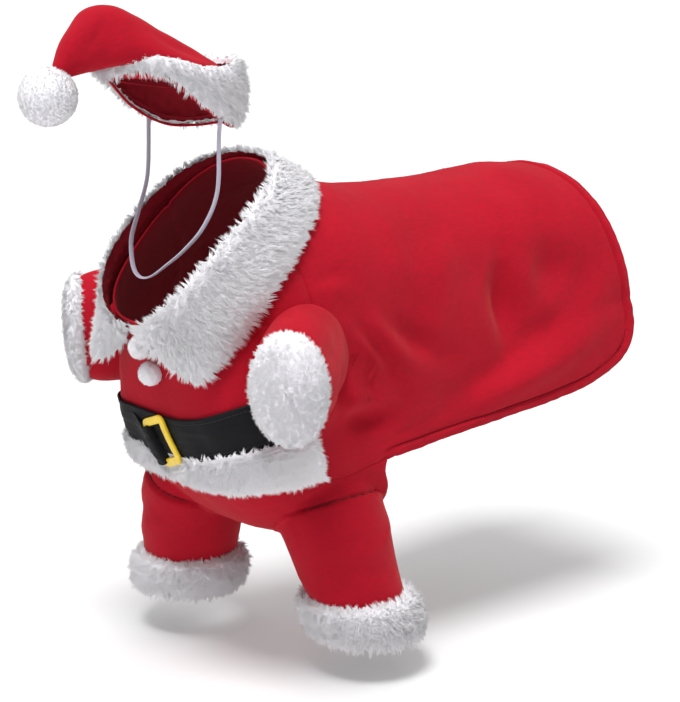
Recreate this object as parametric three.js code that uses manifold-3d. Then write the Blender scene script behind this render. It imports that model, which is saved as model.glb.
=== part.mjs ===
// A Santa suit for a dog, in the shape it has when worn: a red coat that lies over the back and
// closes round the chest, with a fur collar, a belt and a fur band in front, two trouser legs for
// the forelegs, two stuffed arms, and a hat with a chin elastic.
// Millimetres, +Z up. The dog faces -Y and its left side is +X. The origin is the point on the
// inside of the coat, on the middle line, where it lies on the withers.
import * as THREE from "three";
import { mergeVertices } from "three/addons/utils/BufferGeometryUtils.js";
import Module from "manifold-3d";

const wasm = await Module();
wasm.setup();

const clothThick = 2; // brushed knit, one layer
const seamGap = 0.3; // between two pieces at a seam
const seatGap = 0.5; // between the coat and what is sewn on it
const looseGap = 0.95; // and where the two are faceted in unlike ways
const furDeep = 9.5; // backing and pile of the fur trim
const beltThick = 3;
const backSquare = 0.86; // how boxy the upper half of a section is

const degree = Math.PI / 180;
const V = (x, y, z) => new THREE.Vector3(x, y, z);
const lerp = THREE.MathUtils.lerp;
const steps = (count, from = 0, to = 1) =>
  Array.from({ length: count + 1 }, (_, i) => lerp(from, to, i / count));

// A table of sections, read smoothly at a fractional row
function between(rows, at) {
  const last = rows.length - 1;
  const i = Math.min(Math.max(Math.floor(at), 0), last - 1);
  const f = at - i;
  const [a, b, c, d] = [i - 1, i, i + 1, i + 2].map((n) => rows[Math.min(Math.max(n, 0), last)]);
  const out = {};
  for (const key of Object.keys(b)) {
    const bend = 2 * a[key] - 5 * b[key] + 4 * c[key] - d[key];
    const twist = 3 * b[key] - a[key] - 3 * c[key] + d[key];
    out[key] = b[key] + 0.5 * f * (c[key] - a[key] + f * (bend + f * twist));
  }
  return out;
}

// Sections of the coat from the neck to the rear hem. Each is a ring through a point on the back
// and one on the chest or belly; half is its half width, flare widens its lower part, and the
// lower half is boxier as square goes down from 1, an ellipse.
const coatRows = [
  { topY: -86, topZ: 58, lowY: -192, lowZ: -52, half: 50, flare: 0, square: 0.9 },
  { topY: -70, topZ: 41, lowY: -183, lowZ: -70, half: 54, flare: 0, square: 0.85 },
  { topY: -54, topZ: 26, lowY: -171, lowZ: -88, half: 59, flare: 0, square: 0.78 },
  { topY: -36, topZ: 14, lowY: -159, lowZ: -107, half: 69, flare: 0, square: 0.64 },
  { topY: -17, topZ: 6, lowY: -150, lowZ: -130, half: 78, flare: 0, square: 0.55 },
  { topY: 2, topZ: 2.2, lowY: -147, lowZ: -156, half: 85, flare: 0, square: 0.52 },
  { topY: 22, topZ: -3.5, lowY: -142, lowZ: -182, half: 91, flare: 0, square: 0.52 },
  { topY: 42, topZ: -7.5, lowY: -132, lowZ: -208, half: 94, flare: 0, square: 0.54 },
  { topY: 63, topZ: -9.5, lowY: -114, lowZ: -236, half: 94, flare: 0, square: 0.58 },
  { topY: 84, topZ: -10.5, lowY: -76, lowZ: -268, half: 92, flare: 0.01, square: 0.64 },
  { topY: 106, topZ: -12, lowY: -13, lowZ: -281, half: 91, flare: 0.07, square: 0.72 },
  { topY: 159, topZ: -13, lowY: 104, lowZ: -262, half: 91, flare: 0.24, square: 0.84 },
  { topY: 213, topZ: -11, lowY: 230, lowZ: -246, half: 91, flare: 0.32, square: 0.86 },
  { topY: 259, topZ: -17, lowY: 324, lowZ: -230, half: 90, flare: 0.34, square: 0.86 },
];
const neckRow = 2; // the collar is sewn on here
const girthRow = 10; // the sides are closed round the chest up to here
const bellyReach = 0.36; // and the belly this many rows more, behind the legs
const lastRow = 13; // the rear hem

// Where the side seam, and behind girthRow the free edge, runs: degrees round from the back
const seamRows = [74, 75, 76, 78, 81, 86, 92, 99, 106, 118, 111.5, 117, 120.5, 124].map(
  (turn) => ({ turn }),
);
const seamTurn = (k) => between(seamRows, k).turn * degree;

const boxy = (c, square) => Math.sign(c) * Math.abs(c) ** square;

function coatRing(k, t) {
  const s = between(coatRows, k);
  const square = Math.cos(t) > 0 ? backSquare : s.square;
  const up = boxy(Math.cos(t), square);
  return V(
    s.half * boxy(Math.sin(t), square) * (1 + s.flare * Math.max(0, -up)),
    (s.topY + s.lowY) / 2 + ((s.topY - s.lowY) / 2) * up,
    (s.topZ + s.lowZ) / 2 + ((s.topZ - s.lowZ) / 2) * up,
  );
}

// A point on a surface and its outward normal, by small steps along both parameters
const nudge = 1e-3;
function spotOn(surface, u, v) {
  const p = surface(u, v);
  const along = surface(u + nudge, v).sub(surface(u - nudge, v));
  const round = surface(u, v + nudge).sub(surface(u, v - nudge));
  return { p, n: round.cross(along).normalize() };
}

// Soft folds of the coat: from and to are row and degrees round, rise is out (+) or in (-),
// and side is 1 on the dog's left and -1 on its right
const folds = [
  { k0: 8.2, t0: 83, k1: 10.0, t1: 92, rise: 5, wide: 12, side: 1 },
  { k0: 7.5, t0: 90, k1: 9.4, t1: 94, rise: -5, wide: 11, side: 1 },
  { k0: 7.8, t0: 96, k1: 8.9, t1: 93, rise: 4, wide: 12, side: 1 },
  { k0: 8.1, t0: 103, k1: 9.3, t1: 103, rise: -4, wide: 14, side: 1 },
  { k0: 10.7, t0: 66, k1: 11.5, t1: 92, rise: -7, wide: 22, side: 1 },
  { k0: 11.8, t0: 72, k1: 12.5, t1: 76, rise: -3, wide: 24, side: 1 },
  { k0: 11.0, t0: 101, k1: 12.6, t1: 82, rise: 5, wide: 19, side: 1 },
  { k0: 8.4, t0: 86, k1: 10.2, t1: 95, rise: 4.5, wide: 12, side: -1 },
  { k0: 8.0, t0: 95, k1: 9.8, t1: 101, rise: -4.5, wide: 13, side: -1 },
  { k0: 11.2, t0: 68, k1: 11.0, t1: 98, rise: -6, wide: 22, side: -1 },
  { k0: 12.1, t0: 74, k1: 11.7, t1: 106, rise: 4.5, wide: 18, side: -1 },
  { k0: 12.6, t0: 90, k1: 12.4, t1: 112, rise: -3.5, wide: 17, side: -1 },
  { k0: 5.4, t0: 168, k1: 6.9, t1: 150, rise: -1.6, wide: 10, side: 1 },
  { k0: 5.2, t0: 160, k1: 6.8, t1: 156, rise: 1.5, wide: 9, side: -1 },
].map((f) => ({
  ...f,
  from: coatRing(f.k0, f.side * f.t0 * degree),
  to: coatRing(f.k1, f.side * f.t1 * degree),
}));

function relief(p) {
  let out = 0;
  for (const f of folds) {
    const line = f.to.clone().sub(f.from);
    const share = p.clone().sub(f.from).dot(line) / line.lengthSq();
    const near = THREE.MathUtils.clamp(share, 0, 1);
    const away = p.distanceTo(f.from.clone().addScaledVector(line, near));
    const taper = 0.35 + 0.65 * Math.sin(Math.PI * near);
    out += f.rise * taper * Math.exp(-((away / f.wide) ** 2));
  }
  return out;
}

// A spot on the coat's outside, moved out by lift
function coatSpot(k, t, lift = 0) {
  const { p, n } = spotOn(coatRing, k, t);
  return { p: p.clone().addScaledVector(n, relief(p) + lift), n };
}

// The front is measured from seam to seam: side is -1 at the right side seam and 1 at the left
const frontTurn = (k, side) => Math.PI - side * (Math.PI - seamTurn(k));
const frontSides = steps(18, -1, 1).map((side) => Math.sign(side) * Math.abs(side) ** 1.45);

// A height on the front that changes from the middle to the left and the right side seam
const level =
  (middle, left, right = left) =>
  (side) =>
    lerp(middle, side > 0 ? left : right, Math.sin((Math.PI / 2) * Math.abs(side)) ** 1.2);

function halved(low, high, isLow) {
  for (let i = 0; i < 26; i++) {
    const mid = (low + high) / 2;
    if (isLow(mid)) low = mid;
    else high = mid;
  }
  return (low + high) / 2;
}

const rowAtHeight = (side, height) =>
  halved(neckRow, girthRow, (k) => coatRing(k, frontTurn(k, side)).z > height);

function frontSpot(side, height, lift = 0) {
  const k = rowAtHeight(side, height);
  return coatSpot(k, frontTurn(k, side), lift);
}

// The same by millimetres to the dog's left of the middle line
function frontSpotAt(x, height, lift = 0) {
  const xAt = (side) => frontSpot(side, height).p.x;
  return frontSpot(halved(-1, 1, (side) => xAt(side) < x), height, lift);
}

// A closed solid from points and triangles, with its faces turned out
function solidOf(points, triangles) {
  const flat = new THREE.BufferGeometry();
  flat.setAttribute(
    "position",
    new THREE.Float32BufferAttribute(
      points.flatMap((p) => p.toArray()),
      3,
    ),
  );
  flat.setIndex(triangles);
  return manifoldOf(flat);
}

function manifoldOf(geometry) {
  geometry.deleteAttribute("normal");
  geometry.deleteAttribute("uv");
  const merged = mergeVertices(geometry, 1e-4);
  const triVerts = new Uint32Array(merged.index.array);
  const at = merged.attributes.position;
  const corner = (i) => new THREE.Vector3().fromBufferAttribute(at, triVerts[i]);
  let volume = 0;
  for (let i = 0; i < triVerts.length; i += 3)
    volume += corner(i).dot(corner(i + 1).cross(corner(i + 2)));
  if (volume < 0)
    for (let i = 0; i < triVerts.length; i += 3)
      [triVerts[i + 1], triVerts[i + 2]] = [triVerts[i + 2], triVerts[i + 1]];
  return new wasm.Manifold(new wasm.Mesh({ numProp: 3, vertProperties: at.array, triVerts }));
}

// Two triangles for each square of a grid
function squares(rows, columns, loop, start, flip) {
  const made = [];
  const across = loop ? columns : columns - 1;
  for (let i = 0; i < rows - 1; i++)
    for (let j = 0; j < across; j++) {
      const next = (j + 1) % columns;
      const a = start + i * columns + j;
      const b = start + i * columns + next;
      const c = start + (i + 1) * columns + next;
      const d = start + (i + 1) * columns + j;
      if (flip) made.push(a, c, b, a, d, c);
      else made.push(a, b, c, a, c, d);
    }
  return made;
}

// Cloth from a grid of spots on its outside, each with its own depth if it has one. A loop closes
// round each row.
function wall(spots, thick, loop = false) {
  const rows = spots.length;
  const columns = spots[0].length;
  const outer = spots.flat();
  const inner = outer.map(({ p, n, deep }) => p.clone().addScaledVector(n, -(deep ?? thick)));
  const points = [...outer.map(({ p }) => p), ...inner];
  const size = rows * columns;
  const triangles = [
    ...squares(rows, columns, loop, 0, false),
    ...squares(rows, columns, loop, size, true),
  ];
  const rim = (a, b) => triangles.push(a, b + size, a + size, a, b, b + size);
  const across = loop ? columns : columns - 1;
  for (let j = 0; j < across; j++) {
    const next = (j + 1) % columns;
    rim(next, j);
    rim((rows - 1) * columns + j, (rows - 1) * columns + next);
  }
  if (!loop)
    for (let i = 0; i < rows - 1; i++) {
      rim(i * columns, (i + 1) * columns);
      rim((i + 1) * columns + columns - 1, i * columns + columns - 1);
    }
  return solidOf(points, triangles);
}

// A filled body from closed rings of points, with a fan over each end
function filled(rings) {
  const columns = rings[0].length;
  const points = rings.flat().map((p) => p.clone());
  const triangles = squares(rings.length, columns, true, 0, false);
  const middle = (ring) =>
    ring.reduce((sum, p) => sum.add(p), V(0, 0, 0)).divideScalar(ring.length);
  const first = points.push(middle(rings[0])) - 1;
  const last = points.push(middle(rings[rings.length - 1])) - 1;
  const end = (rings.length - 1) * columns;
  for (let j = 0; j < columns; j++) {
    const next = (j + 1) % columns;
    triangles.push(first, next, j, last, end + j, end + next);
  }
  return solidOf(points, triangles);
}

const turnsRound = (count) => steps(count, 0, 2 * Math.PI).slice(0, count);

// What the coat holds, out to lift from its outside, for trimming what is sewn on
function coatFilled(lift) {
  const rings = steps(40, neckRow - 1.6, girthRow + bellyReach).map((k) =>
    turnsRound(64).map((t) => coatSpot(k, t, lift).p),
  );
  return filled(rings);
}

// Each trouser leg is a tube of ellipses. Above its seam the tube belongs to the trouser front.
const legRows = {
  left: [
    { x: 42, y: -27, z: -196, wide: 22, deep: 28 },
    { x: 55, y: -27, z: -230, wide: 35, deep: 39 },
    { x: 66, y: -26, z: -262, wide: 42, deep: 45 },
    { x: 74, y: -20, z: -297, wide: 40, deep: 42 },
    { x: 83, y: -12, z: -334, wide: 38, deep: 39 },
  ],
  right: [
    { x: -42, y: -66, z: -194, wide: 22, deep: 28 },
    { x: -55, y: -67, z: -228, wide: 35, deep: 38 },
    { x: -67, y: -66, z: -260, wide: 42, deep: 44 },
    { x: -74, y: -63, z: -294, wide: 40, deep: 42 },
    { x: -82, y: -60, z: -329, wide: 37, deep: 38 },
  ],
};
const legEnd = 4;
const outward = { left: 1, right: -1 };
const legSeam = (side, t) => 1.55 - 0.63 * outward[side] * Math.sin(t); // lower on the inner side

function legSurface(side, grow = 0) {
  return (row, t) => {
    const s = between(legRows[side], row);
    return V(s.x + (s.wide + grow) * Math.sin(t), s.y + (s.deep + grow) * Math.cos(t), s.z);
  };
}

function legRings(side, from, to, rows) {
  const surface = legSurface(side);
  return steps(rows).map((share) =>
    turnsRound(24).map((t) => spotOn(surface, lerp(from(t), to(t), share), t)),
  );
}

const halfSeamRow = seamGap / 2 / 33; // rows are about 33 mm apart
const legTube = (side) =>
  wall(legRings(side, (t) => legSeam(side, t) + halfSeamRow, () => legEnd, 5), clothThick, true);
const legRoot = (side) =>
  wall(legRings(side, () => 0, (t) => legSeam(side, t) - halfSeamRow, 3), clothThick, true);

function legFilled(side, grow, from, to) {
  const surface = legSurface(side, grow);
  return filled(steps(7, from, to).map((row) => turnsRound(24).map((t) => surface(row, t))));
}

// The fur cuff at the end of a leg, rounded over at both edges
const cuffHigh = 33;
const cuffOver = 0.39; // the share of it that lies on the leg
const cuffFat = 10.5;
function cuff(side) {
  const end = between(legRows[side], legEnd);
  const near = between(legRows[side], legEnd - 0.6);
  const lean = V(end.x - near.x, end.y - near.y, end.z - near.z).normalize();
  const ring = (down, grow) => {
    const middle = V(end.x, end.y, end.z).addScaledVector(lean, down);
    return turnsRound(24).map((t) =>
      middle.clone().add(V((end.wide + grow) * Math.sin(t), (end.deep + grow) * Math.cos(t), 0)),
    );
  };
  const bulge = (v) => cuffFat * (0.55 + 0.45 * Math.sin(Math.PI * v));
  const outside = steps(5).map((v) => ring((v - cuffOver) * cuffHigh, bulge(v)));
  const hollow = steps(3).map((v) => ring((v - cuffOver) * (cuffHigh + 8) - 2, -clothThick));
  return filled(outside).subtract(filled(hollow)).subtract(legFilled(side, looseGap, 2, legEnd + 0.03));
}

// The jacket front is sewn to the trouser front under the fur band
const jacketHem = level(-211, -198);
const seamShares = [0.02, 0.14, 0.28, 0.42, 0.56, 0.7, 0.84, 0.994];
const trouserShares = [0.012, 0.27, 0.52, 0.76, 1];
const hemEnd = rowAtHeight(1, jacketHem(1));
const sideStops = [
  ...seamShares.map((share) => lerp(neckRow, hemEnd, share)),
  ...trouserShares.map((share) => lerp(hemEnd, girthRow, share)),
];

// The back, one panel from the neck over the back and down both sides to the free edge, with
// rounded rear corners and a hem turned all round the free edge
const hemRise = 0.9;
const freeStops = [0.1, 0.22, 0.34, 0.46, 0.58, 0.69, 0.79, 0.88, 0.955, 1];
const backShares = [0, 0.13, 0.26, 0.39, 0.52, 0.64, 0.76, 0.87, 0.962, 1];
const cornerFrom = 0.3;
const cornerPower = 4;
const seamLean = (k) => seamGap / 2 / between(coatRows, k).half;

function backPanel() {
  const across = [...backShares.slice(1).map((share) => -share).reverse(), ...backShares];
  const closed = sideStops.map((k) =>
    across.map((b) => coatSpot(k, b * (seamTurn(k) - seamLean(k)))),
  );
  const free = freeStops.map((a) =>
    across.map((b) => {
      const far = Math.max(0, (a - cornerFrom) / (1 - cornerFrom));
      const round = (far ** cornerPower + Math.abs(b) ** cornerPower) ** (1 / cornerPower);
      const pull = far > 0 ? Math.max(far, Math.abs(b)) / round : 1;
      const share = far > 0 ? cornerFrom + far * pull * (1 - cornerFrom) : a;
      const k = lerp(girthRow, lastRow, share);
      const rise = Math.abs(b) > 0.95 || a > 0.95 ? hemRise : 0;
      return coatSpot(k, b * pull * seamTurn(k), rise);
    }),
  );
  return wall([...closed, ...free], clothThick);
}

const frontPanelSpot = (k, side) =>
  coatSpot(k, Math.PI - side * (Math.PI - seamTurn(k) - seamLean(k)));

const jacketFront = () =>
  wall(
    seamShares.map((share) =>
      frontSides.map((side) =>
        frontPanelSpot(lerp(neckRow, rowAtHeight(side, jacketHem(side)), share), side),
      ),
    ),
    clothThick,
  );

const trouserPanel = () =>
  wall(
    trouserShares.map((share) =>
      frontSides.map((side) => {
        const end = girthRow + bellyReach * (1 - Math.abs(side) ** 2.2);
        return frontPanelSpot(lerp(rowAtHeight(side, jacketHem(side)), end, share), side);
      }),
    ),
    clothThick,
  );

// The fur collar: a strip laid round the neck, with a pointed lapel at each end. inner and outer
// are the coat's rows at its two edges, from the nape to the front.
const collarRows = [
  { inner: 2.0, outer: 4.25 },
  { inner: 1.75, outer: 3.85 },
  { inner: 1.4, outer: 3.6 },
  { inner: 1.2, outer: 3.6 },
  { inner: 1.4, outer: 3.75 },
  { inner: 1.95, outer: 4.05 },
];
const lapelSpread = 25; // degrees between the two points of the lapels and the middle line
const lapels = { left: { lift: 3, from: 0.8 }, right: { lift: 17, from: 0.45 } }; // off the chest

function collar() {
  const rows = steps(5).map((v) =>
    steps(32, -1, 1).map((u) => {
      const s = between(collarRows, Math.abs(u) * (collarRows.length - 1));
      const t = u * (177.4 - lapelSpread * v ** 1.6) * degree;
      const deep = furDeep * (1 - 0.45 * Math.abs(2 * v - 1) ** 3);
      const { lift, from } = u > 0 ? lapels.left : lapels.right;
      const off = looseGap + lift * v * v * THREE.MathUtils.smoothstep(Math.abs(u), from, 1);
      return { ...coatSpot(lerp(s.inner, s.outer, v), t, off + deep), deep };
    }),
  );
  return wall(rows);
}

// What lies on the front: a strip between two levels, as deep as its depth says
function frontStrip(top, low, rowsDown, under, deep, end = 0.99) {
  const rows = steps(rowsDown).map((v) =>
    frontSides.map((share) => {
      const side = share * end;
      const thick = deep(v);
      return { ...frontSpot(side, lerp(top(side), low(side), v), under + thick), deep: thick };
    }),
  );
  return wall(rows);
}

// The belt and the band run up to the left side and stay level on the right
const beltTop = level(-166, -140, -168);
const beltLow = level(-197, -176, -200);
const bandTop = level(-197.5, -176.5, -200.5);
const bandLow = level(-219, -215, -219);
const furBand = () =>
  frontStrip(bandTop, bandLow, 4, seatGap, (v) =>
    furDeep * (0.62 + 0.38 * Math.sin(Math.PI * v)),
  );
const beltStrap = () => frontStrip(beltTop, beltLow, 3, seatGap, () => beltThick);

// The buckle is a bent frame on the belt. The belt's end is folded over its right-hand bar.
const buckle = { wide: 31, high: 40, bar: 6, thick: 2.6, middle: -186.5, turn: 21 * degree };
const buckleLift = seatGap + beltThick + seamGap;
function onBuckle(x, up, lift, turn = buckle.turn) {
  const across = x * Math.cos(turn) - up * Math.sin(turn);
  const height = x * Math.sin(turn) + up * Math.cos(turn);
  return frontSpotAt(across, buckle.middle + height, lift);
}

function bent(halfWide, halfHigh, lift, thick) {
  const rows = steps(5, halfHigh, -halfHigh);
  return wall(
    rows.map((up) => steps(5, -halfWide, halfWide).map((x) => onBuckle(x, up, lift))),
    thick,
  );
}

function buckleFrame() {
  const { wide, high, bar, thick } = buckle;
  const plate = bent(wide / 2, high / 2, buckleLift + thick, thick);
  return plate.subtract(bent(wide / 2 - bar, high / 2 - bar, buckleLift + 2 * thick, 3 * thick));
}

const buckleSpace = () =>
  bent(
    buckle.wide / 2 + seamGap,
    buckle.high / 2 + seamGap,
    buckleLift + buckle.thick + seamGap,
    buckle.thick + 2 * seamGap,
  );

// The belt's end is folded over the bar: how far it stands off the coat, from inside the buckle
// outwards, and how far it has the buckle's turn
const foldHalf = 13;
const barMiddle = (buckle.bar - buckle.wide) / 2;
const foldTop = buckleLift + buckle.thick + seamGap + 2;
const foldRows = [
  { x: barMiddle + 5.5, rise: beltThick, turn: 1 },
  { x: barMiddle + 3.5, rise: foldTop, turn: 1 },
  { x: barMiddle - 2.7, rise: foldTop, turn: 0.9 },
  { x: barMiddle - 8, rise: lerp(beltThick, foldTop, 0.7), turn: 0.5 },
  { x: barMiddle - 20, rise: lerp(beltThick, foldTop, 0.2), turn: 0 },
];
function beltFold(grow = 0) {
  const half = foldHalf + grow;
  const rows = steps(3, half, -half).map((up) =>
    foldRows.map(({ x, rise, turn }) => ({
      ...onBuckle(x, up, rise + grow, turn * buckle.turn),
      deep: rise - seatGap + 2 * grow,
    })),
  );
  return wall(rows);
}

// The stuffed arms: rounded stubs from the chest, each closed by an oval mitten of fur
const armRows = [
  { x: 66, y: -48, z: -119, wide: 31, high: 46 },
  { x: 90, y: -77, z: -120, wide: 33, high: 48 },
  { x: 106, y: -96, z: -121.5, wide: 33.5, high: 48 },
  { x: 118, y: -110, z: -123, wide: 31.5, high: 46.5 },
  { x: 126, y: -119.5, z: -124.5, wide: 27.5, high: 42 },
];
const mittenRows = [
  { at: -11, size: 0.94 },
  { at: -7.5, size: 1.03 },
  { at: -1, size: 1.05 },
  { at: 5, size: 0.92 },
  { at: 8.5, size: 0.66 },
  { at: 10, size: 0.3 },
];
const mittenHalf = { wide: 29.5, high: 43.5 };
const armReach = { left: V(0, 0, 0), right: V(6, -14, 0) }; // the right one is pushed forward
const armAlong = V(0.63, -0.775, -0.06).normalize();
const armAcross = V(0.776, 0.63, 0);
const armUp = armAcross.clone().cross(armAlong).normalize();

function armRing(side, middle, wide, high) {
  return turnsRound(22).map((t) => {
    const p = middle
      .clone()
      .addScaledVector(armAcross, wide * Math.sin(t))
      .addScaledVector(armUp, high * Math.cos(t));
    p.x *= outward[side];
    return p;
  });
}

function armStub(side, grow = 0) {
  return filled(
    steps(8).map((share) => {
      const s = between(armRows, share * (armRows.length - 1));
      const middle = V(s.x, s.y, s.z)
        .addScaledVector(armReach[side], share)
        .addScaledVector(armAlong, grow * share);
      return armRing(side, middle, s.wide + grow, s.high + grow);
    }),
  );
}

function mitten(side) {
  const end = armRows[armRows.length - 1];
  const rings = mittenRows.map(({ at, size }) =>
    armRing(
      side,
      V(end.x, end.y, end.z).add(armReach[side]).addScaledVector(armAlong, at),
      mittenHalf.wide * size,
      mittenHalf.high * size,
    ),
  );
  return filled(rings);
}

// A plush ball, slightly flat at its poles
const poleGap = 0.12;
function ball(middle, radius, rows, columns) {
  const rings = steps(rows, poleGap, Math.PI - poleGap).map((lat) =>
    turnsRound(columns).map((t) => {
      const out = V(Math.sin(lat) * Math.sin(t), Math.sin(lat) * Math.cos(t), Math.cos(lat));
      return middle.clone().addScaledVector(out, radius);
    }),
  );
  return filled(rings);
}

const buttonRadius = 10;
function button(x, height) {
  const { p, n } = frontSpotAt(x, height);
  return ball(p.addScaledVector(n, seatGap + buttonRadius * 0.5), buttonRadius, 7, 12);
}

// The hat: a cone that flops forward over the forehead. Each section is a ring through a point
// on its upper side and one on its lower side.
const hatRows = [
  { topY: -86, topZ: 84, lowY: -178, lowZ: 101, half: 44 },
  { topY: -95, topZ: 101, lowY: -184, lowZ: 109, half: 43 },
  { topY: -118, topZ: 117, lowY: -190, lowZ: 111, half: 39 },
  { topY: -148, topZ: 135, lowY: -198, lowZ: 110, half: 33 },
  { topY: -170, topZ: 149, lowY: -205, lowZ: 108.5, half: 28 },
  { topY: -189, topZ: 157, lowY: -210, lowZ: 108, half: 23 },
  { topY: -206, topZ: 155, lowY: -215, lowZ: 107.5, half: 18.5 },
  { topY: -218, topZ: 145, lowY: -219, lowZ: 107, half: 14 },
  { topY: -228, topZ: 133, lowY: -223, lowZ: 106.5, half: 10.5 },
  { topY: -235, topZ: 119, lowY: -226, lowZ: 106, half: 7 },
];
const hatRoll = 0.12; // the hat sits lower on the dog's right
function hatRing(row, t) {
  const s = between(hatRows, row);
  const up = Math.cos(t);
  const x = -s.half * boxy(Math.sin(t), 0.9);
  return V(
    x,
    (s.topY + s.lowY) / 2 + ((s.topY - s.lowY) / 2) * up,
    (s.topZ + s.lowZ) / 2 + ((s.topZ - s.lowZ) / 2) * up + hatRoll * x,
  );
}

const hatStops = steps(12, 0, hatRows.length - 1);
const hatSpots = (row) => turnsRound(22).map((t) => spotOn(hatRing, row, t));

// The hat filled, with lift all round, and drawn down past its mouth
const mouthDrop = 4;
function hatFilled(lift) {
  const rings = hatStops.map((row) => hatSpots(row).map(({ p, n }) => p.addScaledVector(n, lift)));
  const below = rings[0].map((p) => V(p.x, p.y, p.z - mouthDrop));
  return filled([below, ...rings]);
}

// The brim is a roll of fur round the mouth of the hat, thin in front and deep behind. Its rows
// go from the front round to the back.
const brimRows = [
  { low: 101, high: 15, thick: 8 },
  { low: 106, high: 15, thick: 9 },
  { low: 98, high: 18, thick: 10 },
  { low: 75, high: 32, thick: 13 },
  { low: 59, high: 47, thick: 16 },
  { low: 56, high: 54, thick: 17 },
  { low: 58, high: 52, thick: 17 },
];
const head = { y: -134, halfWide: 47, halfLong: 53 };
function brim(grow = 0) {
  const rings = turnsRound(30).map((turn) => {
    const away = Math.abs(turn > Math.PI ? turn - 2 * Math.PI : turn) / Math.PI;
    const s = between(brimRows, away * (brimRows.length - 1));
    const out = V(Math.sin(turn), -Math.cos(turn), 0);
    const middle = V(head.halfWide * out.x, head.y + head.halfLong * out.y, s.low + s.high / 2);
    return turnsRound(8).map((t) => {
      const p = middle.clone().addScaledVector(out, (s.thick / 2 + grow) * Math.sin(t));
      p.z += (s.high / 2 + grow) * Math.cos(t) + hatRoll * p.x;
      return p;
    });
  });
  return solidOf(rings.flat(), ringed(rings.length, rings[0].length));
}

// Triangles of a closed ring of closed sections
function ringed(rows, columns) {
  const made = squares(rows, columns, true, 0, false);
  for (let j = 0; j < columns; j++) {
    const next = (j + 1) % columns;
    const last = (rows - 1) * columns;
    made.push(last + j, last + next, next, last + j, next, j);
  }
  return made;
}

const pompom = { middle: V(0, -242, 94), radius: 22 };

// The chin elastic, from the brim down past the cheek, under the chin and up the other side
const elasticWide = 4;
const cheek = [
  [44, -119, 72],
  [44, -120, 55],
  [45, -122, 15],
  [42, -133, -11],
  [34, -146, -29],
  [22, -155, -42],
  [11, -160, -51],
];
const elasticRoute = [
  ...cheek.map(([x, y, z]) => V(x, y, z)),
  V(0, -161.5, -54),
  ...cheek.map(([x, y, z]) => V(-x, y, z)).reverse(),
];
function elastic() {
  const half = elasticWide / 2;
  const section = new THREE.Shape(
    turnsRound(8).map((t) => new THREE.Vector2(half * Math.cos(t), half * Math.sin(t))),
  );
  const extrudePath = new THREE.CatmullRomCurve3(elasticRoute, false, "centripetal");
  return manifoldOf(new THREE.ExtrudeGeometry(section, { steps: 26, extrudePath }));
}

const cloth = { roughness: 0.9, metalness: 0 };
const materials = {
  redCloth: new THREE.MeshStandardMaterial({ color: 0xb8152b, ...cloth }),
  whiteFur: new THREE.MeshStandardMaterial({ color: 0xeeecf2, ...cloth }),
  blackCloth: new THREE.MeshStandardMaterial({ color: 0x17171a, ...cloth }),
  greyElastic: new THREE.MeshStandardMaterial({ color: 0xb4aec0, ...cloth }),
  yellowPlastic: new THREE.MeshStandardMaterial({ color: 0xe8c51c, roughness: 0.4, metalness: 0 }),
};

const suit = new THREE.Group();
function add(name, solid, material) {
  const { vertProperties, triVerts } = solid.getMesh();
  const geometry = new THREE.BufferGeometry();
  geometry.setAttribute("position", new THREE.BufferAttribute(vertProperties, 3));
  geometry.setIndex(new THREE.BufferAttribute(triVerts, 1));
  geometry.computeVertexNormals();
  const mesh = new THREE.Mesh(geometry, materials[material]);
  mesh.name = name;
  suit.add(mesh);
}

const body = coatFilled(seatGap);
const chest = coatFilled(looseGap);
const armSeat = coatFilled(looseGap + seamGap);
const bodyInside = coatFilled(-clothThick);
const sides = ["left", "right"];
const legHollows = sides.map((side) => legFilled(side, -clothThick, 0, 2.4));
const withoutAll = (solid, others) => others.reduce((left, other) => left.subtract(other), solid);

const trouserFront = sides
  .map(legRoot)
  .reduce((whole, root) => whole.add(root.subtract(bodyInside)), trouserPanel());
const legsGrown = sides.map((side) => legFilled(side, seamGap, 0, 2.4));
const frameSpace = buckleSpace();
const beltSpace = frontStrip(
  (side) => beltTop(side) + seamGap,
  (side) => beltLow(side) - seamGap,
  3,
  0,
  () => seatGap + beltThick + looseGap,
  1,
);

add("back_panel", withoutAll(backPanel(), legsGrown), "redCloth");
add("jacket_front", withoutAll(jacketFront(), legsGrown), "redCloth");
add("trouser_front", withoutAll(trouserFront, legHollows), "redCloth");
add("fur_band", withoutAll(furBand(), [...legsGrown, frameSpace, beltFold(seamGap)]), "whiteFur");
add("belt", beltStrap().add(beltFold()).subtract(frameSpace), "blackCloth");
add("buckle", buckleFrame(), "yellowPlastic");

for (const side of sides) {
  add(`leg_${side}`, legTube(side).subtract(body), "redCloth");
  add(`cuff_${side}`, cuff(side), "whiteFur");
  add(`arm_${side}`, withoutAll(armStub(side), [armSeat, beltSpace]), "redCloth");
  add(`mitten_${side}`, mitten(side).subtract(armStub(side, seamGap)), "whiteFur");
}

const buttons = [button(0, -106), button(0, -130)];
add("collar", withoutAll(collar(), buttons), "whiteFur");
add("button_upper", buttons[0].subtract(chest), "whiteFur");
add("button_lower", buttons[1].subtract(chest), "whiteFur");

add("hat_cone", wall(hatStops.map(hatSpots), clothThick, true), "redCloth");
add("hat_brim", brim().subtract(hatFilled(looseGap)), "whiteFur");
add("hat_pompom", ball(pompom.middle, pompom.radius, 9, 16).subtract(hatFilled(seamGap)), "whiteFur");
add("chin_elastic", elastic().subtract(brim(seamGap)), "greyElastic");

export default suit;
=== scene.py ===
# A Santa suit for a dog, dressed over its solids: velour panels with seams and turned hems, long
# fur trim, a wrinkled belt with a moulded buckle, stuffed arms, and a hat with its elastic.
# Tables and helpers are in millimetres. Points become metres where a mesh is made.
import math

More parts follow.
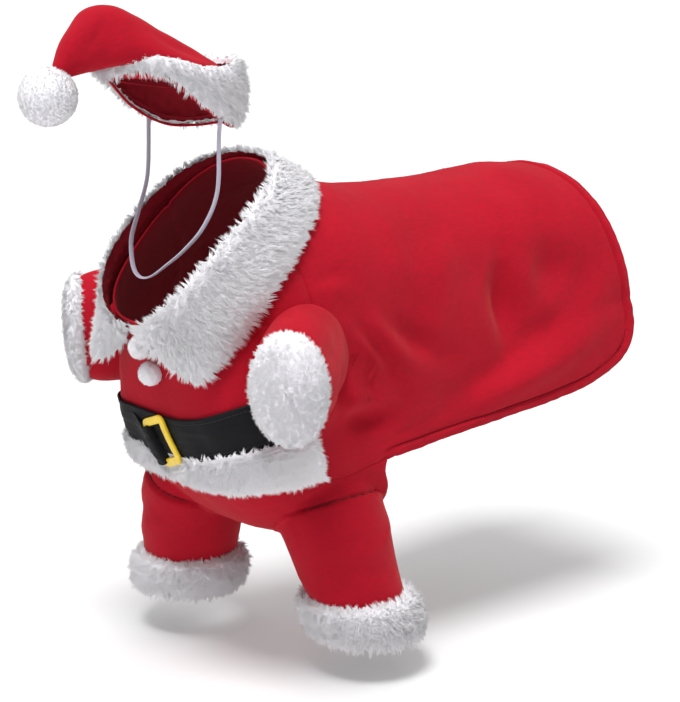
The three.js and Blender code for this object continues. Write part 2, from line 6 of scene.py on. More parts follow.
import bmesh
import bpy
import numpy as np
from mathutils import Matrix, Vector
from mathutils.kdtree import KDTree


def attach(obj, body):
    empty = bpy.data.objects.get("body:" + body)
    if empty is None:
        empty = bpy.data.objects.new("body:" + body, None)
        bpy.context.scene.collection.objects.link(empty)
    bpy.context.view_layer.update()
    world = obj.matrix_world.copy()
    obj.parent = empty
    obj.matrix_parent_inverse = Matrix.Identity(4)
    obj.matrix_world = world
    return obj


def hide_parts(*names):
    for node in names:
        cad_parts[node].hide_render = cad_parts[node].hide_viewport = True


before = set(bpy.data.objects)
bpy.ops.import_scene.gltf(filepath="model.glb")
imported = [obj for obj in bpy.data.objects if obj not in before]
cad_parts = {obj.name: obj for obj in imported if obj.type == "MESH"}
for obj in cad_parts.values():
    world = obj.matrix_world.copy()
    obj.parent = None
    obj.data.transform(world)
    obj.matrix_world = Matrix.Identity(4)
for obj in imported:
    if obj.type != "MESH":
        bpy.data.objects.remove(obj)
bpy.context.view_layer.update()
metre = 0.001
degree = math.pi / 180


# Numbers and tables


def table(columns, rows):
    return {name: np.array(values, float) for name, values in zip(columns, zip(*rows))}


def between(rows, at):
    # Read a table of sections smoothly at fractional rows
    at = np.asarray(at, float)
    last = len(next(iter(rows.values()))) - 1
    i = np.clip(np.floor(at).astype(int), 0, last - 1)
    f = at - i
    out = {}
    for name, column in rows.items():
        a, b, c, d = (column[np.clip(i + step, 0, last)] for step in (-1, 0, 1, 2))
        bend = 2 * a - 5 * b + 4 * c - d
        twist = 3 * b - a - 3 * c + d
        out[name] = b + 0.5 * f * (c - a + f * (bend + f * twist))
    return out


def smooth(value, low, high):
    x = np.clip((np.asarray(value, float) - low) / (high - low), 0, 1)
    return x * x * (3 - 2 * x)


def unit(vectors):
    size = np.linalg.norm(vectors, axis=-1, keepdims=True)
    return vectors / np.maximum(size, 1e-9)


def toward(normals, like):
    # Normals, turned over where they point away from like
    return normals * np.sign(np.einsum("...k,...k->...", normals, like))[..., None]


def turns(count):
    return np.linspace(0, 2 * math.pi, count, endpoint=False)


def xyz(s):
    return np.stack([s[c] for c in "xyz"], -1)


def lengthsAlong(line):
    # How far along a line each of its points lies
    return np.concatenate([[0], np.cumsum(np.linalg.norm(np.diff(line, axis=0), axis=1))])


def mesh2(rows, columns):
    return np.meshgrid(rows, columns, indexing="ij")


def ripple(points, size, seed, layers=6):
    # A soft unevenness about 1 high, with bumps about size apart
    spin = np.random.default_rng(seed)
    out = np.zeros(points.shape[:-1])
    for _ in range(layers):
        way = unit(spin.normal(size=3))
        wave = size * (0.75 + 0.6 * spin.random())
        out += np.sin(points @ way * 2 * math.pi / wave + 6.28 * spin.random())
    return out / math.sqrt(layers)


def boxy(c, square):
    return np.sign(c) * np.abs(c) ** square


# The coat's form: sections from the neck to the rear hem

coat = table(
    ("topY", "topZ", "lowY", "lowZ", "half", "flare", "square"),
    [
        (-86, 58, -192, -52, 50, 0, 0.9),
        (-70, 41, -183, -70, 54, 0, 0.85),
        (-54, 26, -171, -88, 59, 0, 0.78),
        (-36, 14, -159, -107, 69, 0, 0.64),
        (-17, 6, -150, -130, 78, 0, 0.55),
        (2, 2.2, -147, -156, 85, 0, 0.52),
        (22, -3.5, -142, -182, 91, 0, 0.52),
        (42, -7.5, -132, -208, 94, 0, 0.54),
        (63, -9.5, -114, -236, 94, 0, 0.58),
        (84, -10.5, -76, -268, 92, 0.01, 0.64),
        (106, -12, -13, -281, 91, 0.07, 0.72),
        (159, -13, 104, -262, 91, 0.24, 0.84),
        (213, -11, 230, -246, 91, 0.32, 0.86),
        (259, -17, 324, -230, 90, 0.34, 0.86),
    ],
)
backSquare = 0.86
neckRow, girthRow, lastRow = 2, 10, 13
bellyReach = 0.36
seamTable = table(
    ("turn",),
    [(t,) for t in (74, 75, 76, 78, 81, 86, 92, 99, 106, 118, 111.5, 117, 120.5, 124)],
)


def seamTurn(k):
    return between(seamTable, k)["turn"] * degree


def hoop(s, x, up):
    # Places on a section that leans, from its low point (up -1) to its top (up 1)
    y = (s["topY"] + s["lowY"]) / 2 + (s["topY"] - s["lowY"]) / 2 * up
    z = (s["topZ"] + s["lowZ"]) / 2 + (s["topZ"] - s["lowZ"]) / 2 * up
    return np.stack([x, y, z], -1)


def coatRing(k, t):
    s = between(coat, k)
    square = np.where(np.cos(t) > 0, backSquare, s["square"])
    up = boxy(np.cos(t), square)
    return hoop(s, s["half"] * boxy(np.sin(t), square) * (1 + s["flare"] * np.maximum(0, -up)), up)


def spotOn(surface, u, v, nudge=1e-3):
    # Places and outward normals on a surface of two parameters
    u, v = np.broadcast_arrays(np.asarray(u, float), np.asarray(v, float))
    along = surface(u + nudge, v) - surface(u - nudge, v)
    around = surface(u, v + nudge) - surface(u, v - nudge)
    return surface(u, v), unit(np.cross(around, along))


# Folds run through points given as row and degrees round from the back. rise is out (+) or in (-).


def fold(rise, wide, *path, side=1):
    return {"path": path, "rise": rise, "wide": wide, "side": side}


coatFolds = [
    fold(5, 12, (8.2, 83), (10.0, 92)),
    fold(-5, 11, (7.5, 90), (9.4, 94)),
    fold(4, 12, (7.8, 96), (8.9, 93)),
    fold(-4, 14, (8.1, 103), (9.3, 103)),
    fold(-7, 22, (10.7, 66), (11.5, 92)),
    fold(-3, 24, (11.8, 72), (12.5, 76)),
    fold(5, 19, (11.0, 101), (12.6, 82)),
    fold(4.5, 12, (8.4, 86), (10.2, 95), side=-1),
    fold(-4.5, 13, (8.0, 95), (9.8, 101), side=-1),
    fold(-6, 22, (11.2, 68), (11.0, 98), side=-1),
    fold(4.5, 18, (12.1, 74), (11.7, 106), side=-1),
    fold(-3.5, 17, (12.6, 90), (12.4, 112), side=-1),
    fold(-1.6, 10, (5.4, 168), (6.9, 150)),
    fold(1.5, 9, (5.2, 160), (6.8, 156), side=-1),
]
# Softer and narrower ones that only the cloth has
coatWrinkles = [
    fold(6, 19, (9.9, 46), (9.9, 60), (10.0, 75), (10.1, 86)),
    fold(-11, 13, (10.95, 58), (11.0, 70), (11.05, 80), (11.15, 91)),
    fold(-9, 24, (11.4, 66), (11.75, 72), (12.0, 76)),
    fold(-7.5, 13, (10.5, 99), (11.2, 95.5), (11.7, 90), (12.1, 83)),
    fold(6, 13, (10.9, 106), (11.7, 102), (12.4, 93)),
    fold(2.6, 7, (7.0, 86), (8.2, 87.5), (9.3, 91.5)),
    fold(-6, 6.5, (7.6, 83.5), (8.7, 86), (9.7, 91.5)),
    fold(3.6, 8, (7.9, 80.5), (9.0, 84), (10.2, 91.5)),
    fold(-5, 9, (8.6, 77.5), (9.5, 81), (10.4, 89)),
    fold(-6, 8, (7.5, 91), (8.0, 93.5), (8.4, 96)),
    fold(4, 6, (8.4, 94), (9.0, 93), (9.6, 93.5)),
    fold(-10, 9.5, (8.6, 98), (9.2, 97.5), (9.7, 98.5)),
    fold(2.5, 19, (7.2, 58), (9.0, 62), (10.2, 50)),
    fold(-1.4, 5, (4.9, 80), (5.4, 73), (5.9, 70)),
    fold(1.3, 6, (5.0, 84), (5.8, 77), (6.6, 75)),
    fold(-1.4, 5, (9.4, 108), (9.9, 104), (10.6, 103)),
    fold(-1.1, 5, (5.0, 150), (5.9, 146), (6.6, 150)),
    fold(3.2, 7, (7.6, 87), (8.7, 89), (9.9, 95), side=-1),
    fold(-5, 7, (8.1, 91), (9.2, 97), (10.2, 99), side=-1),
    fold(2.2, 8, (10.9, 60), (10.8, 74), (10.6, 88), side=-1),
    fold(-8, 16, (11.3, 66), (11.4, 78), (11.6, 88), side=-1),
    fold(5.5, 13, (11.0, 103), (11.8, 98), (12.4, 90), side=-1),
    fold(-4.5, 10, (9.2, 74), (9.8, 79), (10.3, 84), side=-1),
    fold(2.2, 18, (7.4, 60), (9.0, 64), (10.0, 55), side=-1),
    fold(1.2, 6, (5.0, 82), (5.6, 76), (6.4, 72), side=-1),
    fold(1.0, 5, (5.1, 152), (5.9, 148), (6.7, 151), side=-1),
    fold(1.0, 13, (6.6, 20), (8.2, 8), (9.6, -6)),
    fold(-1.2, 15, (10.4, 14), (11.4, 24), (12.3, 22)),
    fold(1.1, 14, (10.2, 20), (11.0, 10), (12.0, 14), side=-1),
]


def polyline(points, line):
    # How far points are from a line, and the share of its length that they lie at
    spans = np.linalg.norm(np.diff(line, axis=0), axis=1)
    whole, gone = spans.sum(), 0.0
    far = np.full(points.shape[:-1], 1e9)
    share = np.zeros(points.shape[:-1])
    for a, b, span in zip(line[:-1], line[1:], spans):
        near = np.clip((points - a) @ (b - a) / span**2, 0, 1)
        away = np.linalg.norm(points - (a + near[..., None] * (b - a)), axis=-1)
        closer = away < far
        far = np.where(closer, away, far)
        share = np.where(closer, (gone + near * span) / whole, share)
        gone += span
    return far, share


def relief(points, folds):
    out = np.zeros(points.shape[:-1])
    for one in folds:
        away, share = polyline(points, one["line"])
        taper = 0.35 + 0.65 * np.sin(math.pi * share)
        out += one["rise"] * taper * np.exp(-((away / one["wide"]) ** 2))
    return out


def laid(folds, surface):
    # Give each fold its line on a surface of row and turn
    for one in folds:
        k, t = np.array(one["path"], float).T
        one["line"] = surface(k, t * degree * one["side"])
    return folds


coatFolds = laid(coatFolds, coatRing)
coatWrinkles = laid(coatWrinkles, coatRing)


def coatSpot(k, t, lift=0.0, fine=False):
    p, n = spotOn(coatRing, k, t)
    rise = relief(p, coatFolds) + (relief(p, coatWrinkles) if fine else 0)
    return p + n * np.asarray(rise + lift)[..., None], n


def frontTurn(k, side):
    return math.pi - side * (math.pi - seamTurn(k))


def halved(low, high, isLow):
    for _ in range(24):
        middle = (low + high) / 2
        below = isLow(middle)
        low, high = np.where(below, middle, low), np.where(below, high, middle)
    return (low + high) / 2


def rowAtHeight(side, height):
    side, height = np.broadcast_arrays(np.asarray(side, float), np.asarray(height, float))
    low = np.full(side.shape, float(neckRow))
    high = np.full(side.shape, float(girthRow))
    return halved(low, high, lambda k: coatRing(k, frontTurn(k, side))[..., 2] > height)


def frontSpot(side, height, lift=0.0, fine=False):
    k = rowAtHeight(side, height)
    return coatSpot(k, frontTurn(k, side), lift, fine)


def frontSpotAt(x, height, lift=0.0):
    x, height = np.broadcast_arrays(np.asarray(x, float), np.asarray(height, float))
    side = halved(
        np.full(x.shape, -1.0),
        np.full(x.shape, 1.0),
        lambda s: coatRing(rowAtHeight(s, height), frontTurn(rowAtHeight(s, height), s))[..., 0] < x,
    )
    return frontSpot(side, height, lift)


def level(middle, left, right=None):
    # A height that changes from the middle of the front to its two side seams
    right = left if right is None else right

    def at(side):
        end = np.where(side > 0, left, right)
        return middle + (end - middle) * np.sin(math.pi / 2 * np.abs(side)) ** 1.2

    return at


def warped(count, power=1.5):
    side = np.linspace(-1, 1, count)
    return np.sign(side) * np.abs(side) ** power


# Meshes


def treeOf(points):
    tree = KDTree(len(points))
    for i, spot in enumerate(points):
        tree.insert(spot, i)
    tree.balance()
    return tree



def addObject(name, points, groups, materials, marks=None):
    # An object from points in millimetres and groups of faces, each an array and a material
    mesh = bpy.data.meshes.new(name)
    points = np.asarray(points, float).reshape(-1, 3)
    mesh.vertices.add(len(points))
    mesh.vertices.foreach_set("co", (points * metre).astype(np.float32).ravel())
    sizes = np.concatenate([np.full(len(faces), faces.shape[1]) for faces, _ in groups])
    corners = np.concatenate([faces.ravel() for faces, _ in groups])
    mesh.loops.add(len(corners))
    mesh.loops.foreach_set("vertex_index", corners.astype(np.int32))
    mesh.polygons.add(len(sizes))
    mesh.polygons.foreach_set("loop_start", np.concatenate([[0], np.cumsum(sizes)[:-1]]))
    mesh.polygons.foreach_set(
        "material_index", np.concatenate([np.full(len(faces), slot) for faces, slot in groups])
    )
    mesh.polygons.foreach_set("use_smooth", np.ones(len(sizes), bool))
    mesh.update(calc_edges=True)
    for markName, values in (marks or {}).items():
        mark = mesh.attributes.new(markName, "FLOAT", "POINT")
        mark.data.foreach_set("value", values.astype(np.float32))
    obj = bpy.data.objects.new(name, mesh)
    bpy.context.collection.objects.link(obj)
    for material in materials:
        mesh.materials.append(material)
    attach(obj, "root")
    return obj


def dressed(obj, slot, *nodes):
    # Hide the solids that the piece stands for. slot, what the piece is made of, is not used.
    if nodes:
        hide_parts(*nodes)
    return obj


def gridFaces(rows, columns, loop=False):
    i, j = mesh2(np.arange(rows - 1), np.arange(columns if loop else columns - 1))
    following = (j + 1) % columns
    corners = [i * columns + j, i * columns + following]
    corners += [(i + 1) * columns + following, (i + 1) * columns + j]
    return np.stack(corners, -1).reshape(-1, 4)


def facing(points, faces, normals):
    # The faces, turned so that they face along the normals
    p, n = points.reshape(-1, 3), normals.reshape(-1, 3)
    a, b, d = (p[faces[:, c]] for c in (0, 1, -1))
    out = np.einsum("ij,ij->i", np.cross(b - a, d - a), n[faces[:, 0]])
    return faces[:, ::-1] if np.sum(out) < 0 else faces


def openEdges(faces, count):
    # The directed edges that have a face on one side only
    a = faces.ravel()
    b = np.roll(faces, -1, axis=1).ravel()
    alone = ~np.isin(a.astype(np.int64) * count + b, b.astype(np.int64) * count + a)
    return a[alone], b[alone]


def clothShell(name, outer, normals, thick, materials, loop=False):
    # Cloth of some thickness under a grid of points, its inner face with the last material
    rows, columns = outer.shape[:2]
    p, n = outer.reshape(-1, 3), normals.reshape(-1, 3)
    return thickened(name, p, n, facing(p, gridFaces(rows, columns, loop), n), thick, materials)


def thickened(name, p, n, faces, thick, materials):
    count = len(p)
    a, b = openEdges(faces, count)
    edge = np.unique(a)
    rounding = np.full(count, -1)
    rounding[edge] = 2 * count + np.arange(len(edge))
    # the rim bulges a little, so that the cloth's edge looks soft
    outward = np.zeros_like(p)
    for end in (a, b):
        np.add.at(outward, end, np.cross(p[b] - p[a], n[end]))
    thick = np.broadcast_to(np.asarray(thick, float), count)
    middle = p - n * thick[:, None] / 2 + unit(outward) * np.minimum(0.35 * thick, 1)[:, None]
    points = np.concatenate([p, p - n * thick[:, None], middle[edge]])
    rim = np.concatenate(
        [
            np.stack([b, a, rounding[a], rounding[b]], -1),
            np.stack([rounding[b], rounding[a], a + count, b + count], -1),
        ]
    )
    inside = len(materials) - 1
    groups = [(faces, 0), (rim, 0), (faces[:, ::-1] + count, inside)]
    return addObject(name, points, groups, materials)


def gridNormals(points, like, loop=False):
    if loop:
        padded = np.concatenate([points[:, -1:], points, points[:, :1]], 1)
        across = np.gradient(padded, axis=1)[:, 1:-1]
    else:
        across = np.gradient(points, axis=1)
    n = unit(np.cross(np.gradient(points, axis=0), across))
    return toward(n, like)


def closedNormals(points, like):
    # The same for a grid whose last column lies on its first
    n = gridNormals(points[:, :-1], like[:, :-1], True)
    return np.concatenate([n, n[:, :1]], 1)


def tubeAlong(name, line, halfWide, halfThick, flatTo, material, sides=12):
    # A rod or band along a line of points, its flat side turned to a direction
    along = unit(np.gradient(line, axis=0))
    across = unit(np.cross(along, flatTo))
    second = np.cross(along, across)
    t = turns(sides)
    flat = across[:, None] * np.cos(t)[None, :, None] * halfWide
    ring = flat + second[:, None] * np.sin(t)[None, :, None] * halfThick
    points = line[:, None] + ring
    faces = facing(points, gridFaces(len(line), sides, True), ring)
    return addObject(name, points, [(faces, 0)], [material])


def stitches(name, line, normals, material, long=2.5, pitch=3.4, thick=0.5):
    # A row of thread stitches along a line on cloth
    gone = lengthsAlong(line)
    at = np.arange(pitch, gone[-1] - long, pitch)
    read = lambda values, d: np.stack([np.interp(d, gone, values[:, i]) for i in range(3)], -1)
    start, end = read(line, at), read(line, at + long)
    up = unit(read(normals, at))
    along = unit(end - start)
    side = np.cross(up, along)
    t = turns(6)
    shares = np.array([0, 0.12, 0.5, 0.88, 1])
    fat = np.array([0.35, 0.85, 1, 0.85, 0.35]) * thick / 2
    high = np.array([-0.3, 0.25, 0.5, 0.25, -0.3]) * thick
    middle = start[:, None] + (end - start)[:, None] * shares[None, :, None]
    middle = middle + up[:, None] * high[None, :, None]
    ring = side[:, None, None] * np.cos(t)[None, None, :, None]
    ring = ring + up[:, None, None] * np.sin(t)[None, None, :, None]
    points = middle[:, :, None] + ring * fat[None, :, None, None]
    one = gridFaces(len(shares), len(t), True)
    faces = (one[None] + (np.arange(len(at)) * len(shares) * len(t))[:, None, None]).reshape(-1, 4)
    faces = facing(points, faces, np.broadcast_to(ring, points.shape))
    return addObject(name, points, [(faces, 0)], [material])


# Materials


class Wire:
    # A shader socket that takes part in sums

    def __init__(self, graph, socket):
        self.graph = graph
        self.socket = socket

    def join(self, operation, other):
        return self.graph.node("ShaderNodeMath", {"operation": operation}, {0: self, 1: other})

    def __add__(self, other):
        return self.join("ADD", other)

    def __mul__(self, other):
        return self.join("MULTIPLY", other)

    __radd__ = __add__
    __rmul__ = __mul__

    def ramp(self, low, high, start=0.0, end=1.0):
        settings = {"interpolation_type": "SMOOTHSTEP"}
        values = {0: self, 1: low, 2: high, 3: start, 4: end}
        return self.graph.node("ShaderNodeMapRange", settings, values)


class Graph:
    # The nodes of one material

    def __init__(self, name):
        self.material = bpy.data.materials.new(name)
        self.material.use_nodes = True
        self.tree = self.material.node_tree
        self.tree.nodes.clear()
        self.shader = self.tree.nodes.new("ShaderNodeBsdfPrincipled")
        end = self.tree.nodes.new("ShaderNodeOutputMaterial")
        self.tree.links.new(self.shader.outputs[0], end.inputs[0])
        self.place = self.node("ShaderNodeTexCoord", output="Object")

    def node(self, kind, settings=(), values=(), output=0):
        made = self.tree.nodes.new(kind)
        for name, value in dict(settings).items():
            setattr(made, name, value)
        self.feed(made, dict(values))
        return Wire(self, made.outputs[output])

    def feed(self, made, values):
        for name, value in values.items():
            if isinstance(value, Wire):
                self.tree.links.new(value.socket, made.inputs[name])
            else:
                made.inputs[name].default_value = value

    def noise(self, size, detail=3.0, rough=0.55, stretch=None):
        # Noise with bumps about size millimetres apart
        where = self.place
        if stretch:
            values = {"Vector": where, "Scale": stretch}
            where = self.node("ShaderNodeMapping", {"vector_type": "POINT"}, values)
        values = {"Vector": where, "Scale": 1 / (size * metre), "Detail": detail, "Roughness": rough}
        return self.node("ShaderNodeTexNoise", values=values)

    def mix(self, share, first, second):
        values = {0: share, 6: (*first, 1), 7: (*second, 1)}
        return self.node("ShaderNodeMix", {"data_type": "RGBA"}, values, output=2)

    def bump(self, height, distance, strength=1.0, under=None):
        values = {"Height": height, "Distance": distance * metre, "Strength": strength}
        if under is not None:
            values["Normal"] = under
        return self.node("ShaderNodeBump", values=values)

    def finish(self, **values):
        self.feed(self.shader, {name.replace("_", " "): value for name, value in values.items()})
        return self.material


def velour(name, bright, dull, sheen):
    # Brushed knit: a short nap that lies in patches, over a soft mottle
    g = Graph(name)
    patch = g.noise(55, 2, 0.5)
    nap = g.noise(2.6, 4, 0.65, (1, 0.35, 1))
    fibre = g.noise(0.55, 2, 0.6)
    tone = patch.ramp(0.3, 0.7) * 0.3 + nap.ramp(0.3, 0.7) * 0.4 + fibre * 0.3
    bump = g.bump(fibre, 0.22, 0.55, g.bump(nap, 0.45, 0.5))
    return g.finish(
        Base_Color=g.mix(tone, dull, bright),
        Roughness=nap.ramp(0.2, 0.8, 0.82, 0.95),
        Specular_IOR_Level=0.16,
        Sheen_Weight=sheen,
        Sheen_Roughness=0.42,
        Sheen_Tint=(1.0, 0.30, 0.26, 1),
        Normal=bump,
    )


def furMaterial(name, light, shade):
    # Fur locks with painted shade: darker at their roots down in the pile, lighter at their tips, and
    # uneven in tone from lock to lock
    g = Graph(name)
    tip = g.node("ShaderNodeAttribute", {"attribute_name": "tip"}, output="Fac")
    drift = g.noise(14, 2, 0.5)
    # painted shade: the tip mark gives the roots the darker colour, and the noise adds uneven tone
    tone = tip.ramp(0.0, 0.5) * 0.7 + drift.ramp(0.35, 0.65) * 0.3
    return g.finish(
        Base_Color=g.mix(tone, shade, light),
        Roughness=0.85,
        Specular_IOR_Level=0.08,
        Sheen_Weight=0.15,
        Sheen_Roughness=0.5,
    )


def pileMaterial(name, light, shade):
    # The dense ground of the fur, under its locks
    g = Graph(name)
    tuft = g.noise(2.2, 4, 0.7)
    fibre = g.noise(0.6, 2, 0.6)
    tone = tuft.ramp(0.35, 0.65) * 0.75 + fibre * 0.25
    return g.finish(
        Base_Color=g.mix(tone, shade, light),
        Roughness=0.9,
        Specular_IOR_Level=0.2,
        Sheen_Weight=0.3,
        Normal=g.bump(fibre, 0.3, 0.7, g.bump(tuft, 1.0, 0.9)),
    )


def beltMaterial():
    g = Graph("belt_cloth")
    weft = g.node(
        "ShaderNodeTexWave",
        {"wave_type": "BANDS", "bands_direction": "Z"},
        {"Vector": g.place, "Scale": 1 / (1.1 * metre) / 6.28, "Distortion": 1.5, "Detail": 2},
    )
    crease = g.noise(9, 4, 0.6, (0.18, 0.3, 1.3))
    lint = g.noise(0.7, 3, 0.7)
    tone = crease.ramp(0.35, 0.7) * 0.7 + lint * 0.3
    bump = g.bump(weft, 0.12, 0.4, g.bump(crease, 1.3, 0.6))
    return g.finish(
        Base_Color=g.mix(tone, (0.003, 0.003, 0.004), (0.009, 0.009, 0.011)),
        Roughness=crease.ramp(0.3, 0.7, 0.55, 0.72),
        Specular_IOR_Level=0.15,
        Normal=bump,
    )


def plasticMaterial():
    g = Graph("yellow_moulding")
    haze = g.noise(7, 3, 0.6)
    scuff = g.noise(0.9, 3, 0.7)
    return g.finish(
        Base_Color=g.mix(haze, (0.80, 0.52, 0.012), (0.93, 0.68, 0.03)),
        Roughness=scuff.ramp(0.3, 0.7, 0.24, 0.38),
        Specular_IOR_Level=0.5,
        Normal=g.bump(haze, 0.15, 0.3),
    )


def elasticMaterial():
    g = Graph("elastic_cord")
    thread = g.noise(0.8, 3, 0.6, (1.6, 1.6, 0.4))
    return g.finish(
        Base_Color=g.mix(thread, (0.42, 0.39, 0.49), (0.56, 0.53, 0.63)),
        Roughness=0.7,
        Normal=g.bump(thread, 0.12, 0.5),
    )


red = velour("red_velour", (0.48, 0.005, 0.020), (0.34, 0.003, 0.014), 0.16)
redInside = velour("red_knit_back", (0.27, 0.007, 0.016), (0.18, 0.005, 0.011), 0.05)
# white_fur's second colour is the painted shade on the locks' roots
furry = furMaterial("white_fur", (0.975, 0.965, 0.995), (0.945, 0.93, 0.97))
pile = pileMaterial("white_pile", (0.965, 0.955, 0.985), (0.88, 0.86, 0.92))
plush = pileMaterial("white_plush", (0.96, 0.95, 0.99), (0.90, 0.885, 0.94))
black = beltMaterial()
yellow = plasticMaterial()
grey = elasticMaterial()


def threadMaterial(name, dark, light):
    g = Graph(name)
    twist = g.noise(0.5, 2, 0.5)
    return g.finish(
        Base_Color=g.mix(twist, dark, light), Roughness=0.7, Normal=g.bump(twist, 0.1)
    )


redThread = threadMaterial("red_thread", (0.25, 0.006, 0.014), (0.40, 0.010, 0.024))
# a dark red for the cord laid in the leg seams' grooves: a painted seam shadow, darker than the hems'
# thread
seamShadowCord = threadMaterial("seam_shadow_cord", (0.10, 0.003, 0.006), (0.16, 0.004, 0.009))
blackThread = threadMaterial("black_thread", (0.012, 0.012, 0.014), (0.035, 0.035, 0.04))


# Fur: tapered locks in clumps, rooted on a grid of places


def sampleOn(sheet, count, dice):
    p = sheet["p"]
    cross = np.cross(p[1:, 1:] - p[:-1, :-1], p[1:, :-1] - p[:-1, 1:])
    total = np.cumsum(np.linalg.norm(cross, axis=-1).ravel())
    at = (np.arange(count) + dice.random(count)) / count * total[-1]
    cell = np.minimum(np.searchsorted(total, at), len(total) - 1)
    i, j = np.unravel_index(cell, cross.shape[:2])
    u, v = dice.random(count), dice.random(count)

    def read(grid):
        share = [(1 - u) * (1 - v), (1 - u) * v, u * (1 - v), u * v]
        ends = [grid[i, j], grid[i, j + 1], grid[i + 1, j], grid[i + 1, j + 1]]
        return sum(end * (s[:, None] if grid.ndim == 3 else s) for end, s in zip(ends, share))

    return {name: read(grid) for name, grid in sheet.items()}


def furLocks(name, sheet, fur, material):
    # fur: locks, perClump, clumpWide, wide, gather, stray, crisp, seed
    dice = np.random.default_rng(fur["seed"])
    clumps = fur["locks"] // fur["perClump"]
    tuft = sampleOn(sheet, clumps, dice)
    n, comb = unit(tuft["n"]), tuft["comb"]
    side = unit(np.cross(n, comb + 1e-6))
    lean = comb + side * dice.normal(0, fur["stray"], clumps)[:, None]
    lean = lean + unit(comb) * dice.normal(0, fur["stray"], clumps)[:, None]
    way = unit(n * tuft["stand"][:, None] + lean)
    long = tuft["long"] * (0.72 + 0.5 * dice.random(clumps))
    top = tuft["p"] + way * long[:, None]

    def spread(values):
        return np.repeat(values, fur["perClump"], axis=0)

    count = clumps * fur["perClump"]
    n, side, way, top, long = (spread(v) for v in (n, side, way, top, long))
    other = np.cross(n, side)
    off = dice.normal(0, fur["clumpWide"], (count, 2))
    root = spread(tuft["p"]) + side * off[:, :1] + other * off[:, 1:]
    own = unit(way + dice.normal(0, 0.55 * fur["stray"], (count, 3)))
    length = long * (0.75 + 0.35 * dice.random(count))
    tip = root + own * length[:, None]
    gather = fur["gather"] * (0.5 + 0.7 * dice.random(count))[:, None]
    tip = tip + (top - tip) * gather
    across = unit(np.cross(own, dice.normal(size=(count, 3))))
    upright = np.cross(own, across)
    thick = fur["wide"] * (0.4 + 0.35 * dice.random(count))[:, None]
    outward = [across * math.cos(a) + upright * math.sin(a) for a in np.arange(3) * 2 * math.pi / 3]
    points = np.stack([root + way * thick for way in outward] + [tip], 1)
    start = np.arange(count)[:, None] * 4
    sides = np.concatenate([start + np.array([[a, (a + 1) % 3, 3]]) for a in range(3)])
    # the tip mark: 0 at each root and 1 at the tip, so the material paints shade on the roots; its random
    # part gives each lock its own tone
    shade = np.clip(dice.normal(0, 0.12, count)[:, None] + np.array([[0, 0, 0, 1.0]]), 0, 1)
    obj = addObject(name, points, [(sides, 0)], [material], {"tip": shade.ravel()})
    # lit as the pile that it belongs to, more than as single spikes
    soft = np.stack([n + fur["crisp"] * way for way in outward] + [n + fur["crisp"] * own], 1)
    obj.data.normals_split_custom_set_from_vertices(unit(soft).reshape(-1, 3).tolist())
    return obj


def fringed(p, n, long, stand, flow=(0.0, 1.0), edges=(0.0, 1.0, 1.0), loop=False):
    # A fur sheet on a grid. flow is how the fur is combed along its columns and its rows, and
    # edges how strongly it turns outwards at the side ends, at the first and at the last row.
    rows, columns = p.shape[:2]
    dv = unit(np.gradient(p, axis=0))
    du = unit(np.gradient(p, axis=1))
    v, u = mesh2(np.linspace(-1, 1, rows), np.linspace(-1, 1, columns))
    outV = smooth(v, 0.55, 1.0) * edges[2] - smooth(-v, 0.55, 1.0) * edges[1]
    outU = 0 * u if loop else np.sign(u) * smooth(np.abs(u), 1 - 1.2 * rows / columns, 1.0)
    comb = du * (flow[0] + edges[0] * outU)[..., None] + dv * (flow[1] + outV)[..., None]
    edge = np.minimum(np.maximum(np.abs(outV), np.abs(outU) * edges[0]), 1)
    return {
        "p": p,
        "n": n,
        "comb": comb,
        "long": long * (1 - 0.1 * edge),
        "stand": stand * (1 - 0.45 * edge),
    }


# The camera stands where the photo's does

shot = {
    "azimuth": 50 * degree,
    "elevation": 15 * degree,
    "distance": 2000,
    "pixel": 0.8,  # millimetres at the origin
    "wide": 680,
    "high": 702,
    "originX": 305,  # where the origin shows, in pixels
    "originY": 182,
}


def makeCamera(s):
    around, above = s["azimuth"], s["elevation"]
    back = Vector(
        (math.sin(around) * math.cos(above), -math.cos(around) * math.cos(above), math.sin(above))
    )
    right = Vector((math.cos(around), math.sin(around), 0))
    up = back.cross(right)
    look = right * (s["wide"] / 2 - s["originX"]) + up * (s["originY"] - s["high"] / 2)
    data = bpy.data.cameras.new("photo_camera")
    data.sensor_width = 36
    data.lens = 36 * s["distance"] / s["pixel"] / s["high"]
    data.clip_start, data.clip_end = 0.1, 60
    camera = bpy.data.objects.new("photo_camera", data)
    camera.matrix_world = Matrix((right, up, back)).transposed().to_4x4()
    camera.location = (look * s["pixel"] + back * s["distance"]) * metre
    bpy.context.collection.objects.link(camera)
    bpy.context.scene.camera = camera


makeCamera(shot)
print("camera done")


# The chin elastic: a cord that hangs from one side of the brim to the other

elasticSide = [
    (46, -119, 70),
    (45, -120, 55),
    (45, -122, 15),
    (42, -133, -11),
    (34, -146, -29),
    (22, -155, -42),
    (11, -160, -51),
]
elasticWide = 4.0
elasticRoute = elasticSide + [(0, -161.5, -54)] + [(-x, y, z) for x, y, z in elasticSide[::-1]]
elasticRoute[-1] = (-46, -119, 60)  # the hat sits lower on that side
route = xyz(between(table("xyz", elasticRoute), np.linspace(0, len(elasticRoute) - 1, 85)))
# its flat side faces inwards at the sides and upwards at the lowest place
face = np.stack([route[:, 0], 0 * route[:, 0], 0.6 * np.minimum(route[:, 2] + 10, 0) - 4], -1)
elastic = tubeAlong("chin_elastic_cord", route, elasticWide / 2, 0.8, face, grey)
dressed(elastic, "grey_elastic", "chin_elastic")
round(float(lengthsAlong(route)[-1]) * metre, 4)
print("elastic done")


# The legs' forms

